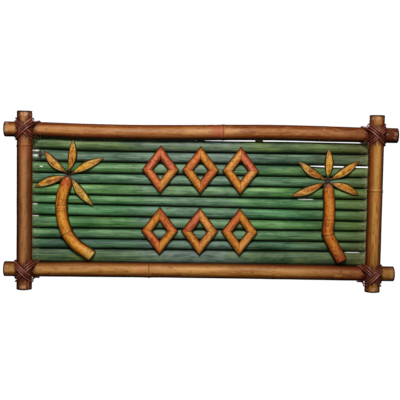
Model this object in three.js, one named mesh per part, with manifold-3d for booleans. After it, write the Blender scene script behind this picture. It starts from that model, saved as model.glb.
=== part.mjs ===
// A bamboo wall sign: four lashed culms frame a field of split slats that carries two palms and two
// rows of lozenges. Millimetres, +Z up, the front faces -Y. The origin is where the back of the
// centre batten meets the wall, halfway between the rails.

import * as THREE from 'three';
import { mergeVertices } from 'three/addons/utils/BufferGeometryUtils.js';
import Module from 'manifold-3d';

const wasm = await Module();
wasm.setup();

// Clearances
const seatGap = 0.3; // between pieces that touch on the real sign
const overrun = 2; // how far a cutter runs past what it cuts

// Frame of four round culms
const poleSpacing = 535; // between the axes of the two upright poles
const railSpacing = 216.1; // between the axes of the two level rails
const railOverhang = 36.1; // how far a rail runs past the axis of a pole
const railSlide = 1.4; // how far a rail's middle stands to the right of the poles' middle
const poleOverhang = 28; // how far a pole runs past the axis of a rail
const culmRadius = 11.9;
const saddleDepth = 4.7; // how deep a pole is notched over a rail
const leftPoleRise = -0.6; // how far the pole's middle stands above the rails' middle
const rightPoleRise = 2.1;
const endChamfer = 1.1;
const boreRadius = 4.6; // the hollow that shows at each cut end
const boreDepth = 15;
const culmRing = 0.7; // height of the ridge round a node of a culm
const culmRingWidth = 7;
const ringCrestShare = 0.28; // width of a ridge's crest as a share of the ridge's
const topRailSway = 1.8; // the top rail's slight double bend
const bottomRailBow = 0.8; // the bottom rail's slight rise
const topRailRingShares = [0.053]; // places of the nodes, from the middle, as shares of the length
const bottomRailRingShares = [-0.13];
const leftPoleRingShares = [0.305];
const rightPoleRingShares = [0.072];

// Corner lashings of split cane
const strandWidth = 2.6;
const strandThickness = 1.7;
const strandGap = 0.5; // between neighbouring turns
const layerGap = 0.8; // between the lower and the upper diagonal
const wallGap = 0.6; // between the lashing and the wall
const frontTurns = 3; // turns in each diagonal that show in front

// Split slats
const slatInset = 6; // how far a slat stops short of the axis of a pole
const slatWall = 2.6;
const slatRise = 7.5;
const slatGap = 0.3;
const slatRing = 0.35; // height of the ridge at a node of a slat
const slatRingWidth = 5.6;
const diaphragmWidth = 2;
const diaphragmHollowShare = 0.08; // what a node leaves of the slat's hollow
const lightGap = 0.8; // between the top rail's underside and the first slat's left end
const bottomTuck = 1; // how far the last slat reaches behind the bottom rail's upper side
const slatTopLeftShares = [
  0, 0.103, 0.189, 0.279, 0.363, 0.455, 0.526, 0.622, 0.726, 0.81, 0.891, 1,
];
const slatTopRightShares = [
  0.016, 0.093, 0.188, 0.281, 0.369, 0.459, 0.551, 0.639, 0.717, 0.807, 0.884, 1,
];
const slatLeftNodeShares = [
  -0.179, -0.173, -0.187, -0.185, -0.177, -0.171, -0.262, -0.264, -0.26, -0.181, -0.175,
];
const slatRightNodeShares = [
  0.245, 0.249, 0.243, 0.25, 0.247, 0.245, 0.252, 0.247, 0.243, 0.249, 0.25,
];

// Battens behind the slats
const battenWidth = 12;
const battenSpacing = 91;
const battenChamfer = 1.2;
const rebateDepth = 2.5; // how deep a batten is let into the back of a rail
const battenOverhang = 6.5; // how far a batten runs past the axis of a rail

// Palms
const palmHeightShare = 0.648; // from crown to foot, as a share of the field's height
const leftPalm = {
  crownAcrossShare: -0.389,
  crownDownShare: 0.2936,
  leafAngles: [83, 27, 137, 200, 308.5],
  leafLengthShares: [0.452, 0.484, 0.43, 0.456, 0.49],
  bellyShares: [-0.3, 0.1, 0.35, -0.15, -0.3],
  trunkAcrossShares: [0, -0.03, -0.078, -0.082, -0.048, 0.05, 0.298],
  trunkDownShares: [0, 0.12, 0.28, 0.42, 0.62, 0.81, 1],
  ringShares: [0.36, 0.62],
};
const rightPalm = {
  crownAcrossShare: 0.3786,
  crownDownShare: 0.3143,
  leafAngles: [89, 34, 147, 203, 338],
  leafLengthShares: [0.416, 0.475, 0.448, 0.496, 0.436],
  bellyShares: [-0.15, -0.2, 0.3, 0.2, 0.3],
  trunkAcrossShares: [0, 0.01, 0.024, 0.02, 0.012, 0.066, 0.19],
  trunkDownShares: [0, 0.14, 0.32, 0.5, 0.63, 0.76, 0.98],
  ringShares: [0.63],
};
const leafWidth = 14.4;
const leafThickness = 4.8;
const leafStart = 2.6; // how far the inner end of a leaf stays off the crown
const leafStationShares = [0, 0.14, 0.32, 0.52, 0.74, 0.9, 1];
const leafWidthShares = [0.09, 0.34, 0.8, 1, 0.78, 0.38, 0.05];
const leafRimShare = 0.36; // thickness of the rim as a share of the leaf's
const leafFaceShare = 0.58; // width of the flat face as a share of the leaf's
const leafShoulderShare = 0.88;
const trunkRadius = 9.6;
const trunkDepth = 13;
const trunkStart = 3.2; // how far the point of the trunk stays off the crown
const trunkPoint = 11; // length of the cut point
const trunkPointMidShare = 0.55;
const trunkTip = 1.8; // half width at the very point
const trunkRing = 0.6;
const trunkRingWidth = 6;

// Lozenges of half round cane, two rows of three
const lozengeWidth = 58;
const lozengeHeight = 76;
const lozengeGap = 4;
const lozengesPerRow = 3;
const rowDownShares = [0.239, 0.732]; // height of each row's middle, down the field
const stickWidth = 14.2;
const stickDepth = 9;
const stickEase = 0.8; // how far the end of a stick is eased down at its mitre

// Facet counts
const culmSides = 16;
const swaySteps = 9;
const swayStepsShare = 0.8; // part of a culm's length that the sway steps divide
const loopSteps = 20;
const strandSides = 6;
const slatOuterSteps = 6;
const slatInnerSteps = 4;
const caneSteps = 8;
const trunkSteps = 15;

// Sizes and places that follow
const railLength = poleSpacing + 2 * railOverhang;
const poleLength = railSpacing + 2 * poleOverhang;
const slatLength = poleSpacing - 2 * slatInset;
const strandPitch = strandWidth + strandGap;
const strandRadius = (culmRadius + seatGap + strandThickness / 2) / Math.cos(Math.PI / loopSteps);
const railStandoff = strandRadius - culmRadius + 1.5 * strandThickness + layerGap + wallGap;
const battenThickness = railStandoff + rebateDepth;
const railY = -(railStandoff + culmRadius);
const poleY = railY - 2 * culmRadius + saddleDepth;
const slatBackY = -(battenThickness + seatGap);
const slatFrontY = slatBackY - slatRise;
const trimBackY = slatFrontY - seatGap;
const lastShift = strandPitch * (frontTurns / 2 - 0.25); // of the strand as it leaves a diagonal
const crossoverX = Math.SQRT2 * lastShift + strandRadius;
const lashReach = crossoverX + strandWidth / 2;
const fieldTop = railSpacing / 2 - culmRadius - lightGap;
const fieldBottom = -(railSpacing / 2 - culmRadius + bottomTuck);
const palmHeight = palmHeightShare * (fieldTop - fieldBottom);

// Materials
const culmBrown = { color: 0xa76e39, roughness: 0.42, metalness: 0 };
const culmRust = { color: 0x8f5730, roughness: 0.42, metalness: 0 };
const lashMaroon = { color: 0x4a1d16, roughness: 0.55, metalness: 0 };
const slatGreens = [0x6f8055, 0x4f7a4c, 0x56835a, 0x4b6f4b, 0x5b8254, 0x44704a];
const battenTan = { color: 0xb8925c, roughness: 0.7, metalness: 0 };
const leafGold = { color: 0xb07a35, roughness: 0.5, metalness: 0 };
const trunkAmber = { color: 0xbc762f, roughness: 0.4, metalness: 0 };
const stickAmber = { color: 0xc8783f, roughness: 0.4, metalness: 0 };

const sign = new THREE.Group();

function addPiece(name, geometry, finish) {
  const mesh = new THREE.Mesh(geometry, new THREE.MeshStandardMaterial(finish));
  mesh.name = name;
  sign.add(mesh);
}

// Solids and booleans
function mergedPositions(geometry) {
  const bare = geometry.clone();
  bare.deleteAttribute('normal');
  bare.deleteAttribute('uv');
  return mergeVertices(bare, 1e-4);
}

function toSolid(geometry) {
  const merged = mergedPositions(geometry);
  const vertProperties = Float32Array.from(merged.attributes.position.array);
  const triVerts = Uint32Array.from(merged.index.array);
  return new wasm.Manifold(new wasm.Mesh({ numProp: 3, vertProperties, triVerts }));
}

function fromSolid(solid) {
  const mesh = solid.getMesh();
  const geometry = new THREE.BufferGeometry();
  geometry.setAttribute('position', new THREE.BufferAttribute(mesh.vertProperties, 3));
  geometry.setIndex(new THREE.BufferAttribute(mesh.triVerts, 1));
  geometry.computeVertexNormals();
  return geometry;
}

function cut(geometry, cutters) {
  let solid = toSolid(geometry);
  for (const cutter of cutters) {
    solid = solid.subtract(toSolid(cutter));
  }
  return fromSolid(solid);
}

// Height at a share of the way down the field of slats
function downField(share) {
  return THREE.MathUtils.lerp(fieldTop, fieldBottom, share);
}

// Winding order is turned where the triangles enclose a negative volume
function facingOut(points, triangles) {
  let volume = 0;
  for (const [a, b, c] of triangles) {
    volume += points[a].dot(points[b].clone().cross(points[c]));
  }
  const ordered = volume < 0 ? triangles.map(([a, b, c]) => [a, c, b]) : triangles;
  const geometry = new THREE.BufferGeometry().setFromPoints(points);
  geometry.setIndex(ordered.flat());
  geometry.computeVertexNormals();
  return geometry;
}

// Loft through rings of equal point counts, closed at both ends; outline is the flat section whose
// triangles close them
function loft(rings, outline) {
  const count = outline.length;
  const triangles = [];
  for (let ring = 0; ring < rings.length - 1; ring += 1) {
    for (let side = 0; side < count; side += 1) {
      const a = ring * count + side;
      const b = ring * count + ((side + 1) % count);
      triangles.push([a, b, a + count], [b, b + count, a + count]);
    }
  }
  const last = (rings.length - 1) * count;
  for (const [a, b, c] of THREE.ShapeUtils.triangulateShape(outline, [])) {
    triangles.push([a, c, b], [last + a, last + b, last + c]);
  }
  return facingOut(rings.flat(), triangles);
}

// Section of a round cane planed flat at the back: x across, y out from the flat
function planedCane(radius, depth, steps) {
  const start = -Math.asin((depth - radius) / radius);
  const sweep = Math.PI - 2 * start;
  const section = [];
  for (let step = 0; step <= steps; step += 1) {
    const angle = start + (sweep * step) / steps;
    section.push(new THREE.Vector2(radius * Math.cos(angle), depth - radius + radius * Math.sin(angle)));
  }
  return section;
}

// Culms
function culmProfile(length, ringShares) {
  const half = length / 2;
  const points = [
    [0, -half + boreDepth],
    [boreRadius, -half + boreDepth],
    [boreRadius, -half],
    [culmRadius - endChamfer, -half],
    [culmRadius, -half + endChamfer],
  ];
  const stations = [];
  for (let step = 0; step <= swaySteps; step += 1) {
    stations.push([culmRadius, length * swayStepsShare * (step / swaySteps - 0.5)]);
  }
  for (const share of ringShares) {
    const middle = share * length;
    const near = ([, along]) => Math.abs(along - middle) > culmRingWidth;
    stations.splice(0, stations.length, ...stations.filter(near));
    for (const side of [-1, 1]) {
      stations.push([culmRadius, middle + (side * culmRingWidth) / 2]);
      stations.push([culmRadius + culmRing, middle + (side * culmRingWidth * ringCrestShare) / 2]);
    }
  }
  stations.sort((a, b) => a[1] - b[1]);
  const ends = points.map(([radius, along]) => [radius, -along]).reverse();
  return [...points, ...stations, ...ends].map(([radius, along]) => new THREE.Vector2(radius, along));
}

function culm(length, ringShares) {
  return mergedPositions(new THREE.LatheGeometry(culmProfile(length, ringShares), culmSides));
}

function bendAlongX(geometry, offsetAt) {
  const position = geometry.attributes.position;
  for (let index = 0; index < position.count; index += 1) {
    position.setZ(index, position.getZ(index) + offsetAt(position.getX(index)));
  }
  return geometry;
}

// Share of the clear span between the lashings, 0 at the left and 1 at the right
function spanShare(x) {
  const span = poleSpacing - 2 * lashReach;
  return THREE.MathUtils.clamp(x / span + 0.5, 0, 1);
}

function battenCentres() {
  return [-battenSpacing, 0, battenSpacing];
}

function rebateCutters(z) {
  const depth = battenThickness + seatGap;
  return battenCentres().map((x) => {
    const box = new THREE.BoxGeometry(battenWidth + 2 * seatGap, depth + overrun, 2 * culmRadius + overrun);
    return box.translate(x, (overrun - depth) / 2, z);
  });
}

function rail(z, ringShares, offsetAt) {
  const round = culm(railLength, ringShares).rotateZ(-Math.PI / 2);
  const bent = bendAlongX(round.translate(railSlide, 0, 0), offsetAt).translate(0, railY, z);
  return cut(bent, rebateCutters(z));
}

function saddleCutter(z) {
  const radius = (culmRadius + seatGap) / Math.cos(Math.PI / culmSides);
  const width = 2 * (culmRadius + culmRing) + overrun;
  const round = new THREE.CylinderGeometry(radius, radius, width, culmSides);
  return round.rotateZ(Math.PI / 2).translate(0, railY, z);
}

function pole(x, rise, ringShares) {
  const round = culm(poleLength, ringShares).rotateX(Math.PI / 2).translate(x, poleY, rise);
  const cutters = [railSpacing / 2, -railSpacing / 2].map((z) => saddleCutter(z).translate(x, 0, 0));
  return cut(round, cutters);
}

// Lashings. Each strand winds round the crossing of a pole and a rail in planes that stand on a
// diagonal. In such a plane both culms are the same ellipse, so a turn follows the hull of two equal
// ellipses: an arc over the pole in front, a straight bridge, an arc over the rail behind, and back.
const ellipseLong = strandRadius * Math.SQRT2;
const ellipseShort = strandRadius;

function hullPoint(angle, shift, behind) {
  const along = (behind ? shift : -shift) + ellipseLong * Math.cos(angle);
  const depth = (behind ? railY : poleY) + ellipseShort * Math.sin(angle);
  return { along, depth };
}

// The upper diagonal rises over the lower one where they cross, and lies down again past its edge
function liftAt(along) {
  const inner = (frontTurns * strandPitch) / 2 + strandWidth / 2 + strandGap;
  const outer = ellipseLong - strandThickness / 2;
  return (strandThickness + layerGap) * (1 - THREE.MathUtils.smoothstep(Math.abs(along), inner, outer));
}

function windingPoint(turn, angle, behind) {
  const shift = turn.shiftAt(angle);
  const { along, depth } = hullPoint(angle, shift, behind);
  const normal = new THREE.Vector2(ellipseShort * Math.cos(angle), ellipseLong * Math.sin(angle));
  normal.normalize();
  const lift = turn.upper ? liftAt(along) : 0;
  const reach = along + normal.x * lift;
  const side = turn.upper ? 1 : -1;
  const place = new THREE.Vector3(reach + shift, 0, side * (reach - shift)).divideScalar(Math.SQRT2);
  const out = new THREE.Vector3(normal.x, 0, side * normal.x).divideScalar(Math.SQRT2);
  return { place: place.setY(depth + normal.y * lift), out: out.setY(normal.y) };
}

// Where the path leaves one culm for the other
function bridgeAngle(angle, shift) {
  const slope = Math.atan((2 * shift * ellipseShort) / (ellipseLong * (poleY - railY)));
  return Math.round((angle - slope) / Math.PI) * Math.PI + slope;
}

function isBehind(angle, shift) {
  const sideways = -2 * shift * ellipseShort * Math.cos(angle);
  const forward = (poleY - railY) * ellipseLong * Math.sin(angle);
  return sideways + forward < 0;
}

function windDiagonal(turn) {
  const steps = Math.round((Math.abs(turn.end - turn.start) / (2 * Math.PI)) * loopSteps);
  const stations = [];
  let behind = isBehind(turn.start, turn.shiftAt(turn.start));
  for (let step = 0; step <= steps; step += 1) {
    const angle = turn.start + ((turn.end - turn.start) * step) / steps;
    const now = isBehind(angle, turn.shiftAt(angle));
    if (now !== behind) {
      const bridge = bridgeAngle(angle, turn.shiftAt(angle));
      stations.push(windingPoint(turn, bridge, behind), windingPoint(turn, bridge, now));
      behind = now;
    }
    stations.push(windingPoint(turn, angle, behind));
  }
  return stations;
}

// The pass behind the rail that leads from the lower diagonal to the upper one
function crossover() {
  const steps = loopSteps / 2;
  const stations = [];
  for (let step = 1; step < steps; step += 1) {
    const angle = Math.PI * (step / steps - 0.5);
    const out = new THREE.Vector3(0, Math.cos(angle), Math.sin(angle));
    const place = new THREE.Vector3(crossoverX, railY, 0).addScaledVector(out, strandRadius);
    stations.push({ place, out });
  }
  return stations;
}

function straightTail(station, neighbour) {
  const along = station.place.clone().sub(neighbour.place).projectOnPlane(station.out).normalize();
  const length = (strandWidth + strandThickness) / 2;
  return { place: station.place.clone().addScaledVector(along, length), out: station.out };
}

function lashingStations() {
  const middle = (frontTurns - 1) / 2;
  const turns = (angle) => angle / (2 * Math.PI);
  const lower = {
    start: 0.5 * Math.PI,
    end: 2 * Math.PI * frontTurns,
    shiftAt: (angle) => strandPitch * (turns(angle - 1.5 * Math.PI) - middle),
    upper: false,
  };
  const upper = {
    start: 0,
    end: -2 * Math.PI * frontTurns + 0.5 * Math.PI,
    shiftAt: (angle) => strandPitch * (turns(angle + 0.5 * Math.PI) + middle),
    upper: true,
  };
  const stations = [...windDiagonal(lower), ...crossover(), ...windDiagonal(upper)];
  const spaced = stations.filter((station, index) => {
    return index === 0 || station.place.distanceTo(stations[index - 1].place) > strandGap;
  });
  const last = spaced.length - 1;
  return [straightTail(spaced[0], spaced[1]), ...spaced, straightTail(spaced[last], spaced[last - 1])];
}

// Axes of the strand's oval section at each station
function strandFrames(stations) {
  return stations.map(({ place, out }, index) => {
    const before = stations[Math.max(index - 1, 0)].place;
    const after = stations[Math.min(index + 1, stations.length - 1)].place;
    const along = after.clone().sub(before).normalize();
    const across = along.clone().cross(out).normalize();
    return { place, along, across, up: across.clone().cross(along) };
  });
}

function strandRing(frame, sides) {
  const ring = [];
  for (let side = 0; side < sides; side += 1) {
    const angle = (2 * Math.PI * side) / sides;
    const point = frame.place.clone().addScaledVector(frame.across, (Math.cos(angle) * strandWidth) / 2);
    ring.push(point.addScaledVector(frame.up, (Math.sin(angle) * strandThickness) / 2));
  }
  return ring;
}

// Least gap between parts of the strand that are at least a third of a turn apart
function leastStrandGap(frames) {
  const apart = Math.round(loopSteps / 3);
  const segment = new THREE.Line3();
  const nearest = new THREE.Vector3();
  let least = Infinity;
  frames.forEach((frame, index) => {
    for (const point of strandRing(frame, 2 * strandSides)) {
      for (let other = 0; other < frames.length - 1; other += 1) {
        if (Math.abs(other - index) < apart) {
          continue;
        }
        segment.set(frames[other].place, frames[other + 1].place);
        segment.closestPointToPoint(point, true, nearest);
        const offset = point.clone().sub(nearest);
        const across = offset.dot(frames[other].across) / (strandWidth / 2);
        const up = offset.dot(frames[other].up) / (strandThickness / 2);
        const along = offset.dot(frames[other].along);
        const flat = Math.sqrt(Math.max(offset.lengthSq() - along * along, 0));
        const surface = flat / Math.hypot(across, up);
        least = Math.min(least, offset.length() - surface);
      }
    }
  });
  return least;
}

function lashing(side, level) {
  const corner = new THREE.Vector3((side * poleSpacing) / 2, 0, (level * railSpacing) / 2);
  const mirror = new THREE.Vector3(-side, 1, level);
  const stations = lashingStations().map(({ place, out }) => {
    return { place: place.multiply(mirror).add(corner), out: out.clone().multiply(mirror) };
  });
  const frames = strandFrames(stations);
  const across = new THREE.Vector3(1, 0, 0);
  const flat = { place: new THREE.Vector3(), across, up: new THREE.Vector3(0, 1, 0) };
  const outline = strandRing(flat, strandSides).map((point) => new THREE.Vector2(point.x, point.y));
  return loft(frames.map((frame) => strandRing(frame, strandSides)), outline);
}

// Slats
function slatSection(halfWidth, ridge, hollow) {
  const section = [];
  for (let step = 0; step <= slatOuterSteps; step += 1) {
    const angle = (Math.PI * step) / slatOuterSteps;
    section.push(new THREE.Vector2(halfWidth * Math.cos(angle), (slatRise + ridge) * Math.sin(angle)));
  }
  for (let step = slatInnerSteps; step >= 0; step -= 1) {
    const angle = (Math.PI * step) / slatInnerSteps;
    const depth = (slatRise - slatWall) * Math.sin(angle) * (hollow ? 1 : diaphragmHollowShare);
    section.push(new THREE.Vector2((halfWidth - slatWall) * Math.cos(angle), depth));
  }
  return section;
}

function slatStations(nodeShares) {
  const stations = [{ x: -slatLength / 2, ridge: 0, hollow: true }];
  for (const share of nodeShares) {
    const middle = share * slatLength;
    for (const side of [-1, 1]) {
      stations.push({ x: middle + (side * slatRingWidth) / 2, ridge: 0, hollow: true });
      stations.push({ x: middle + (side * diaphragmWidth) / 2, ridge: slatRing, hollow: false });
    }
  }
  stations.push({ x: slatLength / 2, ridge: 0, hollow: true });
  return stations.sort((a, b) => a.x - b.x);
}

function slatEdgeZ(edge, x) {
  const across = x / slatLength + 0.5;
  return downField(THREE.MathUtils.lerp(slatTopLeftShares[edge], slatTopRightShares[edge], across));
}

function slat(index) {
  const stations = slatStations([slatLeftNodeShares[index], slatRightNodeShares[index]]);
  const rings = stations.map(({ x, ridge, hollow }) => {
    const top = slatEdgeZ(index, x);
    const bottom = slatEdgeZ(index + 1, x);
    const section = slatSection((top - bottom - slatGap) / 2, ridge, hollow);
    return section.map((point) => new THREE.Vector3(x, slatBackY - point.y, (top + bottom) / 2 + point.x));
  });
  return loft(rings, slatSection(culmRadius, 0, true));
}

// The last slat reaches behind the rail, and is nipped at its corners to clear the lashings
function cornerNips() {
  const reach = slatLength / 2 - poleSpacing / 2 + lashReach + seatGap;
  const edge = railSpacing / 2 - strandRadius - strandThickness / 2 - seatGap;
  return [-1, 1].map((side) => {
    const box = new THREE.BoxGeometry(reach + overrun, 2 * battenThickness + 2 * slatRise, 2 * culmRadius);
    const x = side * (slatLength / 2 - (reach - overrun) / 2);
    return box.translate(x, slatBackY, -(edge + culmRadius));
  });
}

// Battens
function batten(x) {
  const half = battenWidth / 2;
  const outline = new THREE.Shape();
  outline.moveTo(-half + battenChamfer, 0);
  outline.lineTo(half - battenChamfer, 0);
  outline.lineTo(half, -battenChamfer);
  outline.lineTo(half, -battenThickness);
  outline.lineTo(-half, -battenThickness);
  outline.lineTo(-half, -battenChamfer);
  const depth = railSpacing + 2 * battenOverhang;
  const bar = new THREE.ExtrudeGeometry(outline, { depth, bevelEnabled: false });
  return bar.translate(x, 0, -depth / 2);
}

// Palms
function palmCrown(palm) {
  return new THREE.Vector2(palm.crownAcrossShare * slatLength, downField(palm.crownDownShare));
}

function leafSection() {
  return [
    [1, 0],
    [1, leafRimShare],
    [leafFaceShare, leafShoulderShare],
    [0, 1],
    [-leafFaceShare, leafShoulderShare],
    [-1, leafRimShare],
    [-1, 0],
  ];
}

function leaf(palm, index) {
  const angle = THREE.MathUtils.degToRad(palm.leafAngles[index]);
  const along = new THREE.Vector2(Math.cos(angle), Math.sin(angle));
  const across = new THREE.Vector2(-along.y, along.x);
  const crown = palmCrown(palm);
  const length = palm.leafLengthShares[index] * palmHeight - leafStart;
  const rings = leafStationShares.map((share, station) => {
    const halfWidth = (leafWidth / 2) * leafWidthShares[station];
    const belly = palm.bellyShares[index] * (leafWidth / 2) * Math.sin(Math.PI * share) ** 2;
    const thickness = leafThickness * Math.sqrt(leafWidthShares[station]);
    return leafSection().map(([u, v]) => {
      const spot = crown.clone().addScaledVector(along, leafStart + share * length);
      spot.addScaledVector(across, belly + u * halfWidth);
      return new THREE.Vector3(spot.x, trimBackY - v * thickness, spot.y);
    });
  });
  const outline = leafSection().map(([u, v]) => new THREE.Vector2(u * leafWidth, v * leafThickness));
  return loft(rings, outline);
}

function trunkCurve(palm) {
  const crown = palmCrown(palm);
  const places = palm.trunkAcrossShares.map((across, index) => {
    const down = palm.trunkDownShares[index];
    return new THREE.Vector3(crown.x + across * palmHeight, trimBackY, crown.y - down * palmHeight);
  });
  return new THREE.CatmullRomCurve3(places);
}

function trunkStations(palm, curve) {
  const length = curve.getLength();
  const stations = [trunkStart, trunkStart + trunkPoint * trunkPointMidShare, trunkStart + trunkPoint];
  for (let step = 1; step <= trunkSteps; step += 1) {
    stations.push(trunkStart + trunkPoint + ((length - trunkStart - trunkPoint) * step) / trunkSteps);
  }
  const rings = palm.ringShares.map((share) => share * length);
  const clear = stations.filter((at) => rings.every((ring) => Math.abs(at - ring) > trunkRingWidth));
  for (const ring of rings) {
    clear.push(ring - trunkRingWidth / 2, ring, ring + trunkRingWidth / 2);
  }
  clear.sort((a, b) => a - b);
  return clear.map((at) => ({ at, share: at / length, swell: rings.includes(at) ? trunkRing : 0 }));
}

function trunk(palm) {
  const curve = trunkCurve(palm);
  const section = planedCane(trunkRadius, trunkDepth, caneSteps);
  const rings = trunkStations(palm, curve).map(({ at, share, swell }) => {
    const place = curve.getPointAt(Math.min(share, 1));
    const along = curve.getTangentAt(Math.min(share, 1));
    const across = new THREE.Vector3(-along.z, 0, along.x);
    const reach = THREE.MathUtils.lerp(trunkTip, trunkRadius, Math.min((at - trunkStart) / trunkPoint, 1));
    const grow = 1 + swell / trunkRadius;
    return section.map((point) => {
      const sideways = THREE.MathUtils.clamp(point.x, -reach, reach) * grow;
      return place.clone().addScaledVector(across, sideways).setY(trimBackY - point.y * grow);
    });
  });
  return loft(rings, section);
}

// Lozenges. Every point of a stick's section runs parallel to the lozenge's outer edge, from the
// level mitre at the side corner to the upright mitre at the top or bottom corner.
function stick(centreX, centreZ, sideX, sideZ) {
  const halfWidth = lozengeWidth / 2;
  const halfHeight = lozengeHeight / 2;
  const inset = seatGap / 2;
  const apothem = (halfWidth * halfHeight) / Math.hypot(halfWidth, halfHeight);
  const section = planedCane(stickWidth / 2, stickDepth, caneSteps);
  const ends = [
    { far: false, ease: 0 },
    { far: false, ease: stickEase },
    { far: true, ease: -stickEase },
    { far: true, ease: 0 },
  ];
  const rings = ends.map(({ far, ease }) => {
    return section.map((point) => {
      const scale = 1 - (point.x + stickWidth / 2) / apothem;
      const start = new THREE.Vector2(halfWidth * scale - (inset * halfWidth) / halfHeight, inset);
      const finish = new THREE.Vector2(inset, halfHeight * scale - (inset * halfHeight) / halfWidth);
      const shift = finish.clone().sub(start).normalize().multiplyScalar(ease);
      const spot = (far ? finish : start).clone().add(shift);
      const depth = ease === 0 ? Math.min(point.y, stickDepth - stickEase) : point.y;
      return new THREE.Vector3(centreX + sideX * spot.x, trimBackY - depth, centreZ + sideZ * spot.y);
    });
  });
  return loft(rings, section);
}

// Assembly
addPiece('left_pole', pole(-poleSpacing / 2, leftPoleRise, leftPoleRingShares), culmRust);
addPiece('right_pole', pole(poleSpacing / 2, rightPoleRise, rightPoleRingShares), culmBrown);
const sway = (x) => -topRailSway * Math.sin(2 * Math.PI * spanShare(x));
const bow = (x) => bottomRailBow * Math.sin(Math.PI * spanShare(x));
addPiece('top_rail', rail(railSpacing / 2, topRailRingShares, sway), culmBrown);
addPiece('bottom_rail', rail(-railSpacing / 2, bottomRailRingShares, bow), culmBrown);

for (const [sideName, side] of [['left', -1], ['right', 1]]) {
  addPiece(`lashing_top_${sideName}`, lashing(side, 1), lashMaroon);
  addPiece(`lashing_bottom_${sideName}`, lashing(side, -1), lashMaroon);
}
const measured = leastStrandGap(strandFrames(lashingStations()));
console.log(`least gap of a lashing to itself: ${measured.toFixed(2)} mm`);

const slatCount = slatLeftNodeShares.length;
for (let index = 0; index < slatCount; index += 1) {
  const plain = slat(index);
  const geometry = index === slatCount - 1 ? cut(plain, cornerNips()) : plain;
  const finish = { color: slatGreens[index % slatGreens.length], roughness: 0.5, metalness: 0 };
  addPiece(`slat_${String(index + 1).padStart(2, '0')}`, geometry, finish);
}

const battenNames = ['batten_left', 'batten_centre', 'batten_right'];
battenCentres().forEach((x, index) => addPiece(battenNames[index], batten(x), battenTan));

for (const [name, palm] of [['left_palm', leftPalm], ['right_palm', rightPalm]]) {
  addPiece(`${name}_trunk`, trunk(palm), trunkAmber);
  for (let index = 0; index < palm.leafAngles.length; index += 1) {
    addPiece(`${name}_leaf_${index + 1}`, leaf(palm, index), leafGold);
  }
}

const quadrants = [[1, 1], [-1, 1], [-1, -1], [1, -1]];
rowDownShares.forEach((downShare, row) => {
  for (let column = 0; column < lozengesPerRow; column += 1) {
    const x = (column - (lozengesPerRow - 1) / 2) * (lozengeWidth + lozengeGap);
    quadrants.forEach(([sideX, sideZ], index) => {
      const name = `lozenge_${row * lozengesPerRow + column + 1}_stick_${index + 1}`;
      addPiece(name, stick(x, downField(downShare), sideX, sideZ), stickAmber);
    });
  }
});

export default sign;
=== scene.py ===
"""A bamboo wall sign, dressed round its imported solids.

Each piece is modelled lying on a bench: X to the right, Y up the sign, and the bench's height is
how far the piece stands off the wall. hand_over() turns it upright, to face -Y. Metres.
"""
import math
import random

import bmesh
import bpy
from mathutils import Matrix, Quaternion, Vector


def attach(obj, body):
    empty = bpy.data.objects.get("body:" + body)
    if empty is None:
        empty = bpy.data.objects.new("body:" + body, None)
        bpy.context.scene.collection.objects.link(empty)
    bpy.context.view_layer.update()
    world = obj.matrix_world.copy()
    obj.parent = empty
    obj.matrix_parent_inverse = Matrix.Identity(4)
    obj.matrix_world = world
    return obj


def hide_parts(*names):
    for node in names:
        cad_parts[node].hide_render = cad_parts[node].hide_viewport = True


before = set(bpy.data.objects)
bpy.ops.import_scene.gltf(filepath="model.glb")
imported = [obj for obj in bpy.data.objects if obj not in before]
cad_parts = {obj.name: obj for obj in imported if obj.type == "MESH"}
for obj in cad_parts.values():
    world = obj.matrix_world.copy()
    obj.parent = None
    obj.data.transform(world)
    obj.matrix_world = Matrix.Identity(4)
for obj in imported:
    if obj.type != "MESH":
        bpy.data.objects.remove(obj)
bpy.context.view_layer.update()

# Sizes of the frame
SEAT_GAP = 0.0003
POLE_SPACING = 0.535
RAIL_SPACING = 0.2161
RAIL_LENGTH = 0.6072
RAIL_SLIDE = 0.0014
RAIL_SWELL = 0.0005
RAIL_SWELL_RUN = 0.06
RAIL_ROUTE_STEPS = 24
ROUTE_RESOLUTION = 24
POLE_LENGTH = 0.2721
CULM_RADIUS = 0.0119
SADDLE_DEPTH = 0.0047
LEFT_POLE_RISE = -0.0006
RIGHT_POLE_RISE = 0.0021
BORE_RADIUS = 0.0046
BORE_DEPTH = 0.015
RIM_ROUND = 0.0011
RIM_SEGMENTS = 3
NODE_RIDGE = 0.0007
TOP_RAIL_SWAY = 0.0018
BOTTOM_RAIL_BOW = 0.0008
TOP_RAIL_NODE_SHARE = 0.053
BOTTOM_RAIL_NODE_SHARE = -0.13
LEFT_POLE_NODE_SHARE = 0.305
RIGHT_POLE_NODE_SHARE = 0.072
CULM_SIDES = 56
CULM_CUT_SPACING = 0.012
HOLLOWS_DEPTH = 0.0004
HOLLOWS_SIZE = 0.03

# A node of a culm: places along its ridge and heights there, as shares of NODE_WIDTH and NODE_RIDGE
NODE_WIDTH = 0.0035
NODE_PROFILE = [
    (-1, 0), (-0.62, 0.28), (-0.34, 0.86), (-0.16, 0.98), (-0.04, 0.3), (0.1, 0.42), (0.28, 0.95),
    (0.6, 0.4), (1, 0)]

# Sizes of the lashings
STRAND_WIDTH = 0.0026
STRAND_THICKNESS = 0.0017
STRAND_GAP = 0.0005
LAYER_GAP = 0.0008
WALL_GAP = 0.0006
FRONT_TURNS = 3
CAD_LOOP_STEPS = 20
LOOP_STEPS = 64
STRAND_SIDES = 14
BRIDGE_SHARES = [0, 0.25, 0.5, 0.75, 1]

# A strand is thinner and thicker along its length: how much, and radians per metre
STRAND_WAVES = [(0.04, 90), (0.03, 211)]

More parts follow.
